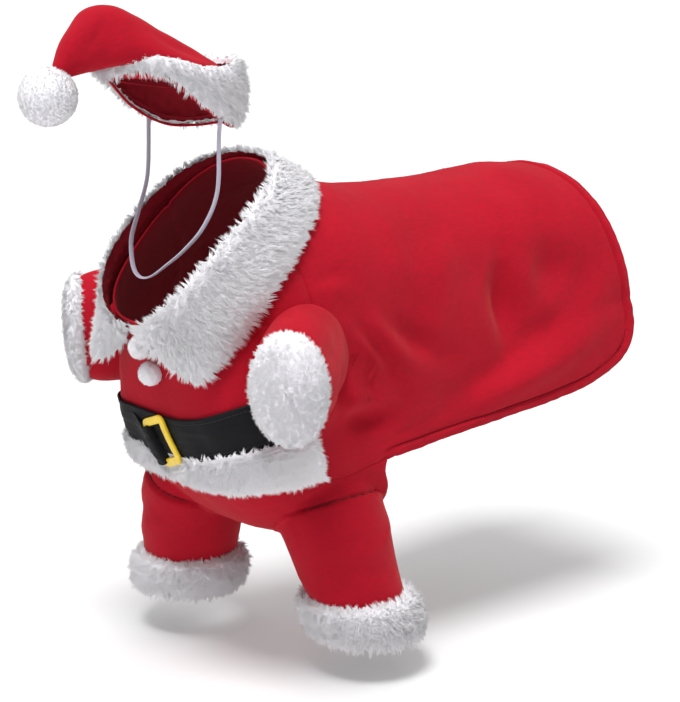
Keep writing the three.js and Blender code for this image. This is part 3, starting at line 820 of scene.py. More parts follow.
legs = {
    "left": table(
        ("x", "y", "z", "wide", "deep"),
        [
            (42, -27, -196, 22, 28),
            (55, -27, -230, 35, 39),
            (66, -26, -262, 42, 45),
            (74, -20, -297, 40, 42),
            (83, -12, -334, 38, 39),
        ],
    ),
    "right": table(
        ("x", "y", "z", "wide", "deep"),
        [
            (-42, -66, -194, 22, 28),
            (-55, -67, -228, 35, 38),
            (-67, -66, -260, 42, 44),
            (-74, -63, -294, 40, 42),
            (-82, -60, -329, 37, 38),
        ],
    ),
}
sides = {"left": 1, "right": -1}
legEnd = 4


def legSeam(side, t):
    return 1.6 - 0.45 * sides[side] * np.sin(t)


def legSurface(side):
    def surface(row, t):
        s = between(legs[side], row)
        x, y = s["x"] + s["wide"] * np.sin(t), s["y"] + s["deep"] * np.cos(t)
        return np.stack([x, y, s["z"] + 0 * t], -1)

    return surface


def depthInLeg(points, side):
    # How deep points lie in a leg's form, in millimetres, less than 0 outside
    rows = legs[side]
    order = np.argsort(rows["z"])
    read = {name: np.interp(points[..., 2], rows["z"][order], rows[name][order]) for name in rows}
    dx = (points[..., 0] - read["x"]) / read["wide"]
    dy = (points[..., 1] - read["y"]) / read["deep"]
    return (1 - np.hypot(dx, dy)) * read["wide"]


def withoutHidden(obj, limit=3.0):
    # Take away the cloth that lies inside a leg, where the leg's own cloth stands over it
    mesh = obj.data
    points = np.empty(len(mesh.vertices) * 3, np.float32)
    mesh.vertices.foreach_get("co", points)
    points = points.reshape(-1, 3) / metre
    inside = np.zeros(len(points), bool)
    for side in sides:
        below = points[:, 2] < legs[side]["z"][0]
        inside |= below & (depthInLeg(points, side) > limit)
    dropVertices(obj, inside)


def dropVertices(obj, gone):
    made = bmesh.new()
    made.from_mesh(obj.data)
    made.verts.ensure_lookup_table()
    bmesh.ops.delete(made, geom=[made.verts[i] for i in np.nonzero(gone)[0]], context="VERTS")
    made.to_mesh(obj.data)
    made.free()


# The back panel: one piece of velour, its free edge turned in and stitched

clothThick = 2.0
hem = {"wide": 7.0, "rise": 1.5, "line": 2.0, "lineWide": 1.15, "inset": 0.1}
backShape = {
    "rowsClosed": 76,
    "rowsFree": 86,
    "columns": 171,
    "closer": 1.35,  # how much denser the places lie near the hem
    "cornerFrom": 0.3,
    "cornerPower": 4,
}


def backPlace(k, b, a):
    # Row and turn on the back panel: b goes from seam to seam, a along the free part
    far = np.maximum(0, (a - backShape["cornerFrom"]) / (1 - backShape["cornerFrom"]))
    power = backShape["cornerPower"]
    reach = (far**power + np.abs(b) ** power) ** (1 / power)
    pull = np.where(far > 0, np.maximum(far, np.abs(b)) / np.maximum(reach, 1e-9), 1)
    share = np.where(far > 0, backShape["cornerFrom"] + far * pull * (1 - backShape["cornerFrom"]), a)
    row = np.where(a > 0, girthRow + share * (lastRow - girthRow), k)
    return row, b * pull * seamTurn(row)


def coatCloth(k, t, seamAway=None, hemAway=None, lift=0.0):
    # The coat's outside with everything that its sewing does to it
    p, n = coatSpot(k, t, lift, True)
    rise = 0.28 * ripple(p, 46, 3) + 0.09 * ripple(p, 13, 4)
    if seamAway is not None:
        pucker = 0.22 * ripple(p, 9, 5) * np.exp(-((seamAway / 9) ** 2))
        rise = rise - 1.25 * np.exp(-((seamAway / 1.9) ** 2)) + pucker
    if hemAway is not None:
        turned = smooth(hemAway, hem["wide"] + 0.8, hem["wide"] - 0.8)
        line = hem["line"] * np.exp(-(((hemAway - hem["wide"] - 0.8) / hem["lineWide"]) ** 2))
        pucker = 0.30 * ripple(p, 10, 6) * np.exp(-(((hemAway - hem["wide"] / 2) / 7) ** 2))
        rise = rise + hem["rise"] * turned - line + pucker
    return p + n * rise[..., None], n


def edgeAway(p, edge):
    # How far each place is from a line of places
    tree = treeOf(edge)
    return np.array([tree.find(spot)[2] for spot in p.reshape(-1, 3)]).reshape(p.shape[:-1])


def insetLine(points, normals, away, inset):
    # where each row of a grid first comes further than inset from the edge
    line, out = [], []
    for place, normal, far in zip(points, normals, away):
        j = int(np.argmax(far > inset))
        if far.max() > inset and j > 0:
            share = (inset - far[j - 1]) / (far[j] - far[j - 1])
            line.append(place[j - 1] + (place[j] - place[j - 1]) * share)
            out.append(normal[j])
    return np.array(line), np.array(out)


def makeBack():
    s = backShape
    even = np.linspace(-1, 1, s["columns"])
    across = np.sign(even) * (1 - (1 - np.abs(even)) ** s["closer"])
    closed, b1 = mesh2(np.linspace(neckRow, girthRow, s["rowsClosed"]), across)
    down = 1 - (1 - np.linspace(0, 1, s["rowsFree"] + 1)[1:]) ** s["closer"]
    free, b2 = mesh2(down, across)
    k1, t1 = backPlace(closed, b1, np.zeros_like(closed))
    k2, t2 = backPlace(np.full_like(free, girthRow), b2, free)
    k, t = np.concatenate([k1, k2]), np.concatenate([t1, t2])
    base, _ = spotOn(coatRing, k, t)
    flank = base[s["rowsClosed"] - 1 :]
    freeEdge = np.concatenate([flank[:, 0], base[-1], flank[:, -1]])
    seamEdge = np.concatenate([base[: s["rowsClosed"], 0], base[: s["rowsClosed"], -1]])
    hemAway = edgeAway(base, freeEdge)
    outer, like = coatCloth(k, t, edgeAway(base, seamEdge), hemAway)
    back = clothShell("back_cloth", outer, gridNormals(outer, like), clothThick, [red, redInside])
    withoutHidden(back)
    dressed(back, "red_cloth", "back_panel")
    # the stitches follow the hem along both flanks
    free = slice(s["rowsClosed"] - 1, None)
    grids = outer[free], gridNormals(outer, like)[free], hemAway[free]
    sewn = []
    for side, way in (("right", 1), ("left", -1)):
        line, n = insetLine(*(grid[:, ::way] for grid in grids), hem["wide"] + hem["inset"])
        sewn.append(stitches(f"hem_stitches_{side}", line, n, redThread))
    return back, [dressed(thread, "red_cloth") for thread in sewn]


backCloth, hemThread = makeBack()
print("back done")


# The jacket front, from the collar to the fur band

hemLevel = level(-211, -198)
frontShape = {"rows": 70, "columns": 120}


def makeJacketFront():
    share, side = mesh2(np.linspace(0, 1, frontShape["rows"]), warped(frontShape["columns"]))
    low = rowAtHeight(side[0], hemLevel(side[0]))
    k = neckRow + (low[None] - neckRow) * share
    t = frontTurn(k, side)
    base, _ = spotOn(coatRing, k, t)
    seam_shadow = np.concatenate([base[:, 0], base[:, -1]])
    outer, like = coatCloth(k, t, edgeAway(base, seam_shadow))
    front = clothShell("jacket_cloth", outer, gridNormals(outer, like), clothThick, [red, redInside])
    withoutHidden(front)
    return dressed(front, "red_cloth", "jacket_front")


jacketCloth = makeJacketFront()
print("jacket done")


# The trousers: one skin over the lower front and both legs, from the solids' union

trouserShape = {"voxel": 1.95, "smoothings": 8, "beyond": 1.0, "tuck": 1.12, "inwards": 2.6}
legFolds = {
    "left": [
        fold(1.8, 6, (1.9, 20), (2.3, 60), (2.5, 100)),
        fold(-1.5, 7, (2.6, 150), (2.9, 110), (3.1, 70)),
        fold(1.6, 6, (3.2, 200), (3.5, 160), (3.4, 120)),
        fold(-1.6, 7, (2.4, 250), (2.8, 290), (3.3, 320)),
        fold(-1.3, 6, (1.6, 170), (2.1, 165), (2.7, 175)),
    ],
    "right": [
        fold(-1.8, 7, (2.0, 180), (2.4, 210), (2.8, 240)),
        fold(1.6, 6, (2.4, 150), (2.8, 190), (3.2, 230)),
        fold(-1.4, 6, (2.0, 90), (2.6, 110), (3.1, 130)),
        fold(1.6, 7, (2.7, 300), (3.0, 330), (3.3, 360)),
    ],
}


def filledRings(rings):
    # Points and faces of a closed body from rings
    count, columns = rings.shape[:2]
    points = np.concatenate([rings.reshape(-1, 3), rings[:1].mean(1), rings[-1:].mean(1)])
    following = (np.arange(columns) + 1) % columns
    end = (count - 1) * columns
    caps = np.concatenate(
        [
            np.stack([np.full(columns, len(points) - 2), following, np.arange(columns)], -1),
            np.stack([np.full(columns, len(points) - 1), end + np.arange(columns), end + following], -1),
        ]
    )
    return points, [gridFaces(count, columns, True), caps]


def unionOf(bodies, voxel):
    # One skin round several closed bodies
    points, faces, count = [], [], 0
    for rings in bodies:
        own, groups = filledRings(rings)
        points.append(own)
        faces += [tuple(count + corner for corner in face) for g in groups for face in g.tolist()]
        count += len(own)
    mesh = bpy.data.meshes.new("bodies")
    mesh.from_pydata((np.concatenate(points) * metre).tolist(), [], faces)
    joined = bpy.data.objects.new("bodies", mesh)
    bpy.context.collection.objects.link(joined)
    remesh = joined.modifiers.new("skin", "REMESH")
    remesh.mode = "VOXEL"
    remesh.voxel_size = voxel * metre
    ready = joined.evaluated_get(bpy.context.evaluated_depsgraph_get()).to_mesh()
    skin = np.empty(len(ready.vertices) * 3, np.float32)
    ready.vertices.foreach_get("co", skin)
    faces = np.array([list(f.vertices) for f in ready.polygons if len(f.vertices) == 4])
    bpy.data.objects.remove(joined)
    bpy.data.meshes.remove(mesh)
    return skin.reshape(-1, 3).astype(float) / metre, faces


def smoothed(points, faces, times):
    pairs = np.concatenate([faces[:, [i, (i + 1) % 4]] for i in range(4)])
    pairs = np.unique(np.concatenate([pairs, pairs[:, ::-1]]), axis=0)
    degree = np.bincount(pairs[:, 0], minlength=len(points)).astype(float)
    for i in range(times):
        total = np.zeros_like(points)
        np.add.at(total, pairs[:, 0], points[pairs[:, 1]])
        mean = total / np.maximum(degree, 1)[:, None]
        points = points + (mean - points) * (0.6 if i % 2 == 0 else -0.35)
    return points


def vertexNormals(points, faces):
    a, b, c, d = (points[faces[:, i]] for i in range(4))
    each = np.cross(c - a, d - b)
    out = np.zeros_like(points)
    for i in range(4):
        np.add.at(out, faces[:, i], each)
    return unit(out)


def bellyEnd(side):
    away = np.abs(side)
    drawnIn = 0.09 * np.exp(-(((away - 0.95) / 0.13) ** 2)) * (away < 1)
    return girthRow + 0.01 - drawnIn + bellyReach * (1 - np.minimum(away, 1) ** 2.2)


def legLift(points, side):
    # The slanting seam of a leg, with the leg's own cloth over it, and the folds below
    surface = legSurface(side)
    seamTurns = np.linspace(0, 2 * math.pi, 240)
    away = edgeAway(points, surface(legSeam(side, seamTurns), seamTurns))
    rows = legs[side]
    at = np.arange(legEnd + 1)
    row = np.interp(-points[:, 2], -rows["z"], at)
    x, y = (points[:, i] - np.interp(row, at, rows[c]) for i, c in enumerate("xy"))
    under = np.where(row > legSeam(side, np.arctan2(x, y)), 1.0, 0.0)
    ledge = 2.2 * under * np.exp(-((away / 14) ** 2))
    groove = -1.9 * np.exp(-((away / 1.8) ** 2))
    pucker = 0.25 * ripple(points, 8, 13) * np.exp(-((away / 8) ** 2))
    return ledge + groove + pucker + relief(points, laid(legFolds[side], surface))


def placesOnCoat(points):
    # Each point's side and row on the coat, and how far it lies from there
    last = girthRow + trouserShape["beyond"]
    sideGrid, rowGrid = mesh2(np.linspace(-1.25, 1.25, 180), np.linspace(4.0, last, 130))
    sheet = coatSpot(rowGrid, frontTurn(rowGrid, sideGrid))[0]
    grid = sheet.reshape(-1, 3)
    perSide = np.gradient(sheet, sideGrid[:, 0], axis=0).reshape(-1, 3)
    perRow = np.gradient(sheet, rowGrid[0], axis=1).reshape(-1, 3)
    tree = treeOf(grid)
    nearest = np.array([tree.find(spot)[1] for spot in points])
    a, b = perSide[nearest], perRow[nearest]
    # the nearest place of the grid, and from there along the surface to the point itself
    gap = points - grid[nearest]
    aa, ab, bb, ga, gb = (
        np.einsum("ij,ij->i", u, v) for u, v in ((a, a), (a, b), (b, b), (gap, a), (gap, b))
    )
    area = np.maximum(aa * bb - ab * ab, 1e-9)
    along = np.clip((ga * bb - gb * ab) / area, -0.02, 0.02)
    down = np.clip((gb * aa - ga * ab) / area, -0.06, 0.06)
    away = np.linalg.norm(gap - a * along[:, None] - b * down[:, None], axis=1)
    return sideGrid.reshape(-1)[nearest] + along, rowGrid.reshape(-1)[nearest] + down, away


def makeTrousers():
    s = trouserShape
    k, t = mesh2(
        np.linspace(4.0, girthRow + s["beyond"], 64), turns(160)
    )
    bodies = [coatSpot(k, t)[0]]
    for side in sides:
        row, turn = mesh2(np.linspace(0, legEnd + 0.2, 40), np.linspace(0, 2 * math.pi, 72)[:-1])
        bodies.append(legSurface(side)(row, turn))
    points, faces = unionOf(bodies, s["voxel"])
    points = smoothed(points, faces, s["smoothings"] * 2)
    n = vertexNormals(points, faces)
    lift = 0.25 * ripple(points, 40, 11) + 0.08 * ripple(points, 12, 12)
    for side in sides:
        near = (points[:, 2] < legs[side]["z"][0]) & (depthInLeg(points, side) > -6)
        lift[near] += legLift(points[near], side)
    points = points + n * lift[:, None]
    # what is kept: the front under the jacket's hem, out to the side seams, and the legs
    side, row, away = placesOnCoat(points)
    end = bellyEnd(side)
    underHem = points[:, 2] < hemLevel(np.clip(side, -1, 1)) + 3
    onFront = (np.abs(side) < 1) & underHem & (row < end - 0.02)
    outside = np.minimum(*(-depthInLeg(points, name) for name in sides))
    below = points[:, 2] < legs["left"]["z"][0]
    onCoat = away < 1.6
    isLeg = ~onCoat & (outside < 10) & below & (row < end + 0.3)
    beside = (np.abs(side) < s["tuck"]) | (outside < 14)
    tucked = onCoat & (np.abs(side) >= 1) & beside & below & (row < end - 0.02)
    inwards = s["inwards"] * smooth(outside, 0.5, 6) * smooth(np.abs(side), 0.99, 1.03) * onCoat
    points = points - n * inwards[:, None]
    above = np.where(points[:, 0] > 0, legs["left"]["z"][4], legs["right"]["z"][4])
    keep = (onFront | isLeg | tucked) & (points[:, 2] > above)
    whole = keep[faces].all(1)
    faces = faces[whole]
    used = np.unique(faces)
    renamed = np.full(len(points), -1)
    renamed[used] = np.arange(len(used))
    faces, points, n = renamed[faces], points[used], vertexNormals(points, faces)[used]
    faces = facing(points, faces, n)
    # the rear edge is drawn onto its curve, so that it is cut clean
    edge = np.unique(openEdges(faces, len(points))[0])
    along = np.linspace(-s["tuck"], s["tuck"], 900)
    rim = coatSpot(bellyEnd(along), frontTurn(bellyEnd(along), along))[0]
    rimTree = treeOf(rim)
    for i in edge:
        spot, _, away = rimTree.find(points[i])
        if away < 4:
            points[i] = points[i] + (np.array(spot) - points[i]) * 0.9
    skin = thickened("trouser_cloth", points, n, faces, clothThick, [red, redInside])
    return dressed(skin, "red_cloth", "trouser_front", "leg_left", "leg_right")


trouserCloth = makeTrousers()
print("trousers done")


# Fur trim. At the first and the last row, thin says how much flatter the ground gets.


def makeFur(
    name, node, p, n, deep, fur, ground=pile, under=pile, loop=False, slot="white_fur", **flow
):
    # A strip of fur: its dense ground, and its locks in one or more pieces
    ruffled = p - n * (deep * 0.22)[..., None]
    uneven = 0.55 * ripple(p, 6.5, fur["seed"]) + 0.3 * ripple(p, 3, fur["seed"] + 1)
    ruffled = ruffled + n * (uneven * smooth(deep, 1, 8))[..., None]
    trim = ruffled[:, :-1] if loop else ruffled
    normals = n[:, :-1] if loop else n
    depth = deep[:, :-1] if loop else deep
    v = np.linspace(0, 1, len(p))[:, None]
    first, last = fur.get("thin", (1, 1))
    flatter = first * np.exp(-((v / 0.07) ** 2)) + last * np.exp(-(((1 - v) / 0.07) ** 2))
    thick = 0.62 * depth * (1 - 0.82 * flatter)
    base = clothShell(f"{name}_ground", trim, normals, thick.ravel(), [ground, under], loop)
    dressed(base, slot, node)
    roots = ruffled - n * 0.6
    sheet = fringed(roots, n, fur["long"] * fur.get("lying", 1.0), fur["stand"], loop=loop, **flow)
    locks = []
    parts = fur.get("parts", 1)
    for i in range(parts):
        share = dict(fur, locks=fur["locks"] // parts, seed=fur["seed"] + 10 * i)
        locks.append(dressed(furLocks(f"{name}_locks_{i + 1}", sheet, share, furry), slot))
    return base, locks


longFur = {"perClump": 8, "clumpWide": 1.0, "wide": 0.72, "gather": 0.5, "stray": 0.26, "crisp": 0.5}
furDeep = 9.5

collarRows = table(
    ("inner", "outer"),
    [(2.0, 4.25), (1.75, 3.85), (1.4, 3.6), (1.2, 3.6), (1.4, 3.75), (1.95, 4.05)],
)
lapels = {1: {"lift": 3, "from": 0.8}, -1: {"lift": 17, "from": 0.45}}


def makeCollar():
    v, u = mesh2(np.linspace(0, 1, 30), np.linspace(-1, 1, 230))
    s = between(collarRows, np.abs(u) * 5)
    t = u * (177.4 - 25 * v**1.6) * degree
    deep = furDeep * (1 - 0.45 * np.abs(2 * v - 1) ** 3)
    off = 0.95 + v * v * np.where(
        u > 0,
        lapels[1]["lift"] * smooth(np.abs(u), lapels[1]["from"], 1),
        lapels[-1]["lift"] * smooth(np.abs(u), lapels[-1]["from"], 1),
    )
    p, n = coatSpot(s["inner"] + (s["outer"] - s["inner"]) * v, t, off + deep)
    n = gridNormals(p, n)
    fur = dict(longFur, locks=49000, long=8.5, stand=0.4, seed=21, parts=2)
    flow = {"flow": (0.0, 0.75), "edges": (0.9, 1.25, 0.75)}
    return makeFur("collar", "collar", p, n, deep, fur, under=redInside, **flow)


collarBase, collarLocks = makeCollar()
print("collar done")

bandTop, bandLow = level(-197.5, -176.5, -200.5), level(-219, -215, -219)
buckle = {"wide": 31, "high": 40, "bar": 6.4, "thick": 3.0, "middle": -186.5, "turn": 21 * degree}


def makeBand():
    v, side = mesh2(np.linspace(0, 1, 16), warped(160, 1.45) * 0.99)
    height = bandTop(side) + (bandLow(side) - bandTop(side)) * v
    deep = furDeep * (0.62 + 0.38 * np.sin(math.pi * v))
    # the buckle lies on the strip and presses its fur flat
    place = frontSpot(side, height)[0]
    across, up = place[..., 0], height - buckle["middle"]
    turn = buckle["turn"]
    own = across * np.cos(turn) + up * np.sin(turn), up * np.cos(turn) - across * np.sin(turn)
    beside = np.maximum(np.abs(own[0]) - buckle["wide"] / 2, np.abs(own[1]) - buckle["high"] / 2)
    pressed = smooth(-beside, -5, -0.5)
    deep = deep * (1 - 0.62 * pressed)
    p, n = frontSpot(side, height, 0.5 + deep)
    n = gridNormals(p, n)
    fur = dict(longFur, locks=23000, long=8, stand=0.45, seed=51, lying=1 - 0.8 * pressed)
    return makeFur("band", "fur_band", p, n, deep, fur, flow=(0.1, 0.7), edges=(1.0, 1.0, 0.6))


bandBase, bandLocks = makeBand()
print("band done")

cuffShape = {"high": 33, "over": 0.39, "fat": 10.5}


def makeCuff(side):
    end = {name: column[-1] for name, column in legs[side].items()}
    lean = unit(xyz(end) - xyz(between(legs[side], legEnd - 0.6)))
    v, t = mesh2(np.linspace(0, 1, 18), np.linspace(0, 2 * math.pi, 110))
    bulge = cuffShape["fat"] * (0.55 + 0.45 * np.sin(math.pi * v)) * smooth(v, -0.08, 0.11)
    down = (v - cuffShape["over"]) * cuffShape["high"]
    like = np.stack([np.sin(t), np.cos(t), 0 * t], -1)
    wide, deep = end["wide"] + bulge, end["deep"] + bulge
    p = xyz(end) + lean * down[..., None] + like * np.stack([wide, deep, wide], -1)
    n = closedNormals(p, like)
    fur = dict(longFur, locks=16000, long=8.5, stand=0.5, seed={"left": 71, "right": 91}[side])
    node = f"cuff_{side}"
    return makeFur(node, node, p, n, bulge, fur, loop=True, flow=(0.15, 0.45), edges=(0, 1.1, 0.3))


cuffBase, cuffLocks = {}, {}
for side in sides:
    cuffBase[side], cuffLocks[side] = makeCuff(side)
print("cuffs done")


# The arms and their mittens

armRows = table(
    ("x", "y", "z", "wide", "high"),
    [
        (66, -48, -119, 31, 46),
        (90, -77, -120, 33, 48),
        (106, -96, -121.5, 33.5, 48),
        (118, -110, -123, 31.5, 46.5),
        (126, -119.5, -124.5, 27.5, 42),
    ],
)
mittenRows = table(
    ("at", "size"),
    [(-9.5, 0.95), (-6.5, 1.03), (-1, 1.05), (5, 0.92), (8.5, 0.66), (10, 0.3), (10.4, 0.02)],
)
mittenHalf = {"wide": 29.5, "high": 43.5}
armReach = {"left": np.zeros(3), "right": np.array([6.0, -14, 0])}
armAlong = unit(np.array([0.63, -0.775, -0.06]))
armAcross = np.array([0.776, 0.63, 0])
armUp = unit(np.cross(armAcross, armAlong))
armFolds = {
    "left": [
        fold(-1.8, 6, (0.6, 60), (1.3, 75), (2.1, 70)),
        fold(1.3, 7, (1.0, -20), (1.8, 0), (2.6, 25)),
        fold(-1.6, 6, (0.9, 120), (1.8, 112), (2.9, 118)),
        fold(-1.4, 6, (1.2, 200), (2.0, 190), (3.0, 196)),
    ],
    "right": [
        fold(-1.7, 6, (0.8, 50), (1.6, 70), (2.4, 66)),
        fold(-1.6, 6, (1.0, 140), (1.9, 130), (2.8, 138)),
        fold(1.4, 7, (1.4, 250), (2.2, 262), (3.0, 258)),
    ],
}


def armPlace(side, middle, wide, high, t):
    p = middle + armAcross * (wide * np.sin(t))[..., None] + armUp * (high * np.cos(t))[..., None]
    return p * np.array([sides[side], 1, 1])


def armSurface(side):
    def surface(row, t):
        s = between(armRows, row)
        middle = xyz(s) + armReach[side] * (np.asarray(row) / 4)[..., None]
        return armPlace(side, middle, s["wide"], s["high"], t)

    return surface


coatAt = mesh2(np.linspace(1.0, 9.0, 240), turns(400))
coatNear, coatOut = (grid.reshape(-1, 3) for grid in coatSpot(*coatAt))
coatTree = treeOf(coatNear)


armRoot = 0.5


def fromCoat(points):
    # Each point's nearest place on the coat, the way out there, and how deep the point lies
    flat = points.reshape(-1, 3)
    nearest = np.array([coatTree.find(spot)[1] for spot in flat])
    deep = -np.einsum("ij,ij->i", flat - coatNear[nearest], coatOut[nearest])
    return flat, coatOut[nearest], deep


def depthInCoat(points):
    return fromCoat(points)[2].reshape(points.shape[:-1])


def ontoCoat(points, deep):
    flat, out, now = fromCoat(points)
    return (flat + out * (now - deep)[:, None]).reshape(points.shape)


def makeArm(side):
    surface = armSurface(side)
    row, t = mesh2(np.linspace(0.0, 4, 70), turns(96))
    p, n = spotOn(surface, row, t)
    n = toward(n, p - p.mean(1, keepdims=True))
    lift = 0.3 * ripple(p, 30, 31) + relief(p, laid(armFolds[side], surface)) - 0.9
    p = p + n * lift[..., None]
    # each line along the arm starts where it leaves the coat
    deep = depthInCoat(p)
    first = np.clip(np.argmin(deep > armRoot, axis=0), 1, None)
    j = np.arange(p.shape[1])
    share = (deep[first - 1, j] - armRoot) / (deep[first - 1, j] - deep[first, j])
    root = p[first - 1, j] + (p[first, j] - p[first - 1, j]) * np.clip(share, 0, 1)[:, None]
    buried = np.arange(len(p))[:, None] < first
    p = np.where(buried[..., None], root[None], p)[int(first.min()) - 1 :]
    shrink = np.linspace(0.1, 1, 9)[:-1, None, None]
    floor = ontoCoat(root.mean(0) + (root - root.mean(0)) * shrink, armRoot)
    p = np.concatenate([floor, p])
    points, groups = filledRings(p)
    centre = points.mean(0)
    faces = [facing(points, faces, points - centre) for faces in groups]
    arm = addObject(f"arm_{side}_cloth", points, [(f, 0) for f in faces], [red])
    dressed(arm, "red_cloth", f"arm_{side}")


def makeMitten(side):
    row, t = mesh2(np.linspace(0, 5.9, 28), np.linspace(0, 2 * math.pi, 90))
    s = between(mittenRows, row)
    end = xyz(armRows)[-1] + armReach[side]
    middle = end + armAlong * s["at"][..., None]
    p = armPlace(side, middle, mittenHalf["wide"] * s["size"], mittenHalf["high"] * s["size"], t)
    centre = (end - armAlong * 12) * np.array([sides[side], 1, 1])
    n = closedNormals(p, p - centre)
    deep = np.full(row.shape, 5.0)
    seed = {"left": 111, "right": 131}[side]
    fur = dict(longFur, locks=11000, long=4.4, stand=0.5, seed=seed, wide=0.55, thin=(1, 0))
    node = f"mitten_{side}"
    return makeFur(node, node, p, n, deep, fur, loop=True, flow=(0.25, -0.5), edges=(0, 0.2, 0.2))


# A dark cord along each leg's seam, laid in its groove: a painted seam shadow
def makeLegSeamShadow(side):
    t = np.linspace(0, 2 * math.pi, 400)
    p, n = spotOn(legSurface(side), legSeam(side, t), t)
    n = toward(n, p - xyz(between(legs[side], 1.55)))
    line = p - n * 0.35
    shows = depthInCoat(line) < -3
    first = int(np.argmin(shows))
    shows, line, n = (np.roll(v, -first, axis=0) for v in (shows, line, n))
    line, n = line[shows], n[shows]
    dressed(tubeAlong(f"leg_{side}_seam", line, 0.45, 0.45, n, seamShadowCord, 6), "red_cloth")


for side in sides:
    makeLegSeamShadow(side)
for side in sides:
    makeArm(side)
for side in sides:
    makeMitten(side)
print("arms done")


# The belt, its folded end and the buckle

beltTop, beltLow = level(-166, -140, -168), level(-197, -176, -200)
beltThick, seatGap, seamGap = 3.0, 0.5, 0.3
buckleLift = seatGap + beltThick + seamGap


def onBuckle(x, up, lift, turn=None):
    turn = buckle["turn"] if turn is None else turn
    across = x * np.cos(turn) - up * np.sin(turn)
    height = x * np.sin(turn) + up * np.cos(turn)
    return frontSpotAt(across, buckle["middle"] + height, lift)


def makeBelt():
    v, side = mesh2(np.linspace(0, 1, 30), warped(180, 1.45) * 0.99)
    height = beltTop(side) + (beltLow(side) - beltTop(side)) * v
    p, n = frontSpot(side, height, seatGap + beltThick)
    n = gridNormals(p, n)
    # lengthwise wrinkles that wander a little, and a rolled edge
    wander = v + 0.035 * np.sin(side * 7 + 1) + 0.02 * np.sin(side * 17)
    rise = 0.0
    for at, wide, high in [(0.16, 0.05, -0.5), (0.36, 0.05, 0.45), (0.52, 0.045, -0.5), (0.74, 0.05, 0.5)]:
        swell = 0.5 + 0.5 * np.sin(side * 5 + at * 20)
        rise = rise + high * swell * np.exp(-(((wander - at) / wide) ** 2))
    edge = np.minimum(v, 1 - v)
    rise = rise + 0.25 * np.exp(-((edge / 0.05) ** 2)) - 0.35 * np.exp(-(((edge - 0.09) / 0.025) ** 2))
    p = p + n * rise[..., None]
    belt = dressed(clothShell("belt_strap", p, n, beltThick - 0.4, [black]), "black_cloth", "belt")
    threads = []
    for row, name in [(3, "upper"), (-4, "lower")]:
        thread = stitches(f"belt_stitches_{name}", p[row], n[row], blackThread, 2.2, 3.2, 0.42)
        threads.append(dressed(thread, "black_cloth"))
    return belt, threads


beltCloth, beltThread = makeBelt()

barMiddle = (buckle["bar"] - buckle["wide"]) / 2
foldTop = buckleLift + buckle["thick"] + seamGap + 2
foldRows = table(
    ("x", "rise", "turn"),
    [
        (barMiddle + 6.3, beltThick, 1),
        (barMiddle + 5.2, foldTop - 1.6, 1),
        (barMiddle + 3.0, foldTop, 1),
        (barMiddle - 2.7, foldTop, 0.9),
        (barMiddle - 8, beltThick + 0.7 * (foldTop - beltThick), 0.5),
        (barMiddle - 20, beltThick + 0.2 * (foldTop - beltThick), 0),
        (barMiddle - 26, beltThick + 0.25, 0),
    ],
)


def makeFold():
    up, at = mesh2(np.linspace(14, -16, 24), np.linspace(0, 6, 48))
    s = between(foldRows, at)
    crease = 0.35 * np.sin(up * 0.9 + s["x"] * 0.12) * smooth(at, 1, 3)
    p, n = onBuckle(s["x"], up, s["rise"] + crease, s["turn"] * buckle["turn"])
    dressed(clothShell("belt_fold", p, gridNormals(p, n), 2.0, [black]), "black_cloth")


makeFold()


def makeBuckle():
    # A moulded frame: a rounded bar section swept round a rectangle with soft corners
    b = buckle
    halfWide, halfHigh = (b["wide"] - b["bar"]) / 2, (b["high"] - b["bar"]) / 2
    corner = 3.2
    path = []
    for cx, cy, start in [(1, 1, 0), (-1, 1, 90), (-1, -1, 180), (1, -1, 270)]:
        for turn in np.linspace(start, start + 90, 7) * degree:
            x = cx * (halfWide - corner) + corner * math.cos(turn)
            y = cy * (halfHigh - corner) + corner * math.sin(turn)
            path.append((x, y))
    path = np.array(path)
    closed = np.concatenate([path, path[:1]])
    spans = lengthsAlong(closed)
    at = np.linspace(0, spans[-1], 121)[:-1]
    line = np.stack([np.interp(at, spans, closed[:, i]) for i in range(2)], -1)
    along = unit(np.roll(line, -1, 0) - np.roll(line, 1, 0))
    out = np.stack([along[:, 1], -along[:, 0]], -1)
    halfBar, halfThick = b["bar"] / 2, b["thick"] / 2
    t = turns(20)
    sectionOut, sectionUp = halfBar * boxy(np.cos(t), 0.45), halfThick * boxy(np.sin(t), 0.55)
    x = line[:, None, 0] + out[:, None, 0] * sectionOut
    y = line[:, None, 1] + out[:, None, 1] * sectionOut
    middle = buckleLift + halfThick
    p = onBuckle(x, y, middle + np.broadcast_to(sectionUp, x.shape))[0]
    core = onBuckle(*(np.broadcast_to(line[:, None, i], x.shape) for i in range(2)), middle)[0]
    rows, columns = x.shape
    j = np.arange(columns)
    following = (j + 1) % columns
    last = (rows - 1) * columns
    closing = np.stack([last + j, last + following, following, j], -1)
    faces = facing(p, np.concatenate([gridFaces(rows, columns, True), closing]), p - core)
    dressed(addObject("buckle_frame", p, [(faces, 0)], [yellow]), "yellow_plastic", "buckle")


makeBuckle()
print("belt done")


# The plush buttons and the pompom


def makeBall(name, node, centre, radius, fur, seat=None):
    v, t = mesh2(np.linspace(0.03, math.pi - 0.03, 30), np.linspace(0, 2 * math.pi, 60))
    n = np.stack([np.sin(v) * np.sin(t), np.sin(v) * np.cos(t), np.cos(v)], -1)
    p = centre + n * radius
    if seat:
        # the ball is pressed flat where it is sewn on
        place, out = seat
        sunk = np.maximum(0, -((p - place) @ out))
        p = p + out * sunk[..., None]
    deep = np.full(v.shape, fur["deep"])
    flow = {"flow": (0.3, 0.3), "edges": (0, 0, 0), "loop": True, "slot": "white_plush"}
    return makeFur(name, node, p, n, deep, fur, plush, plush, **flow)


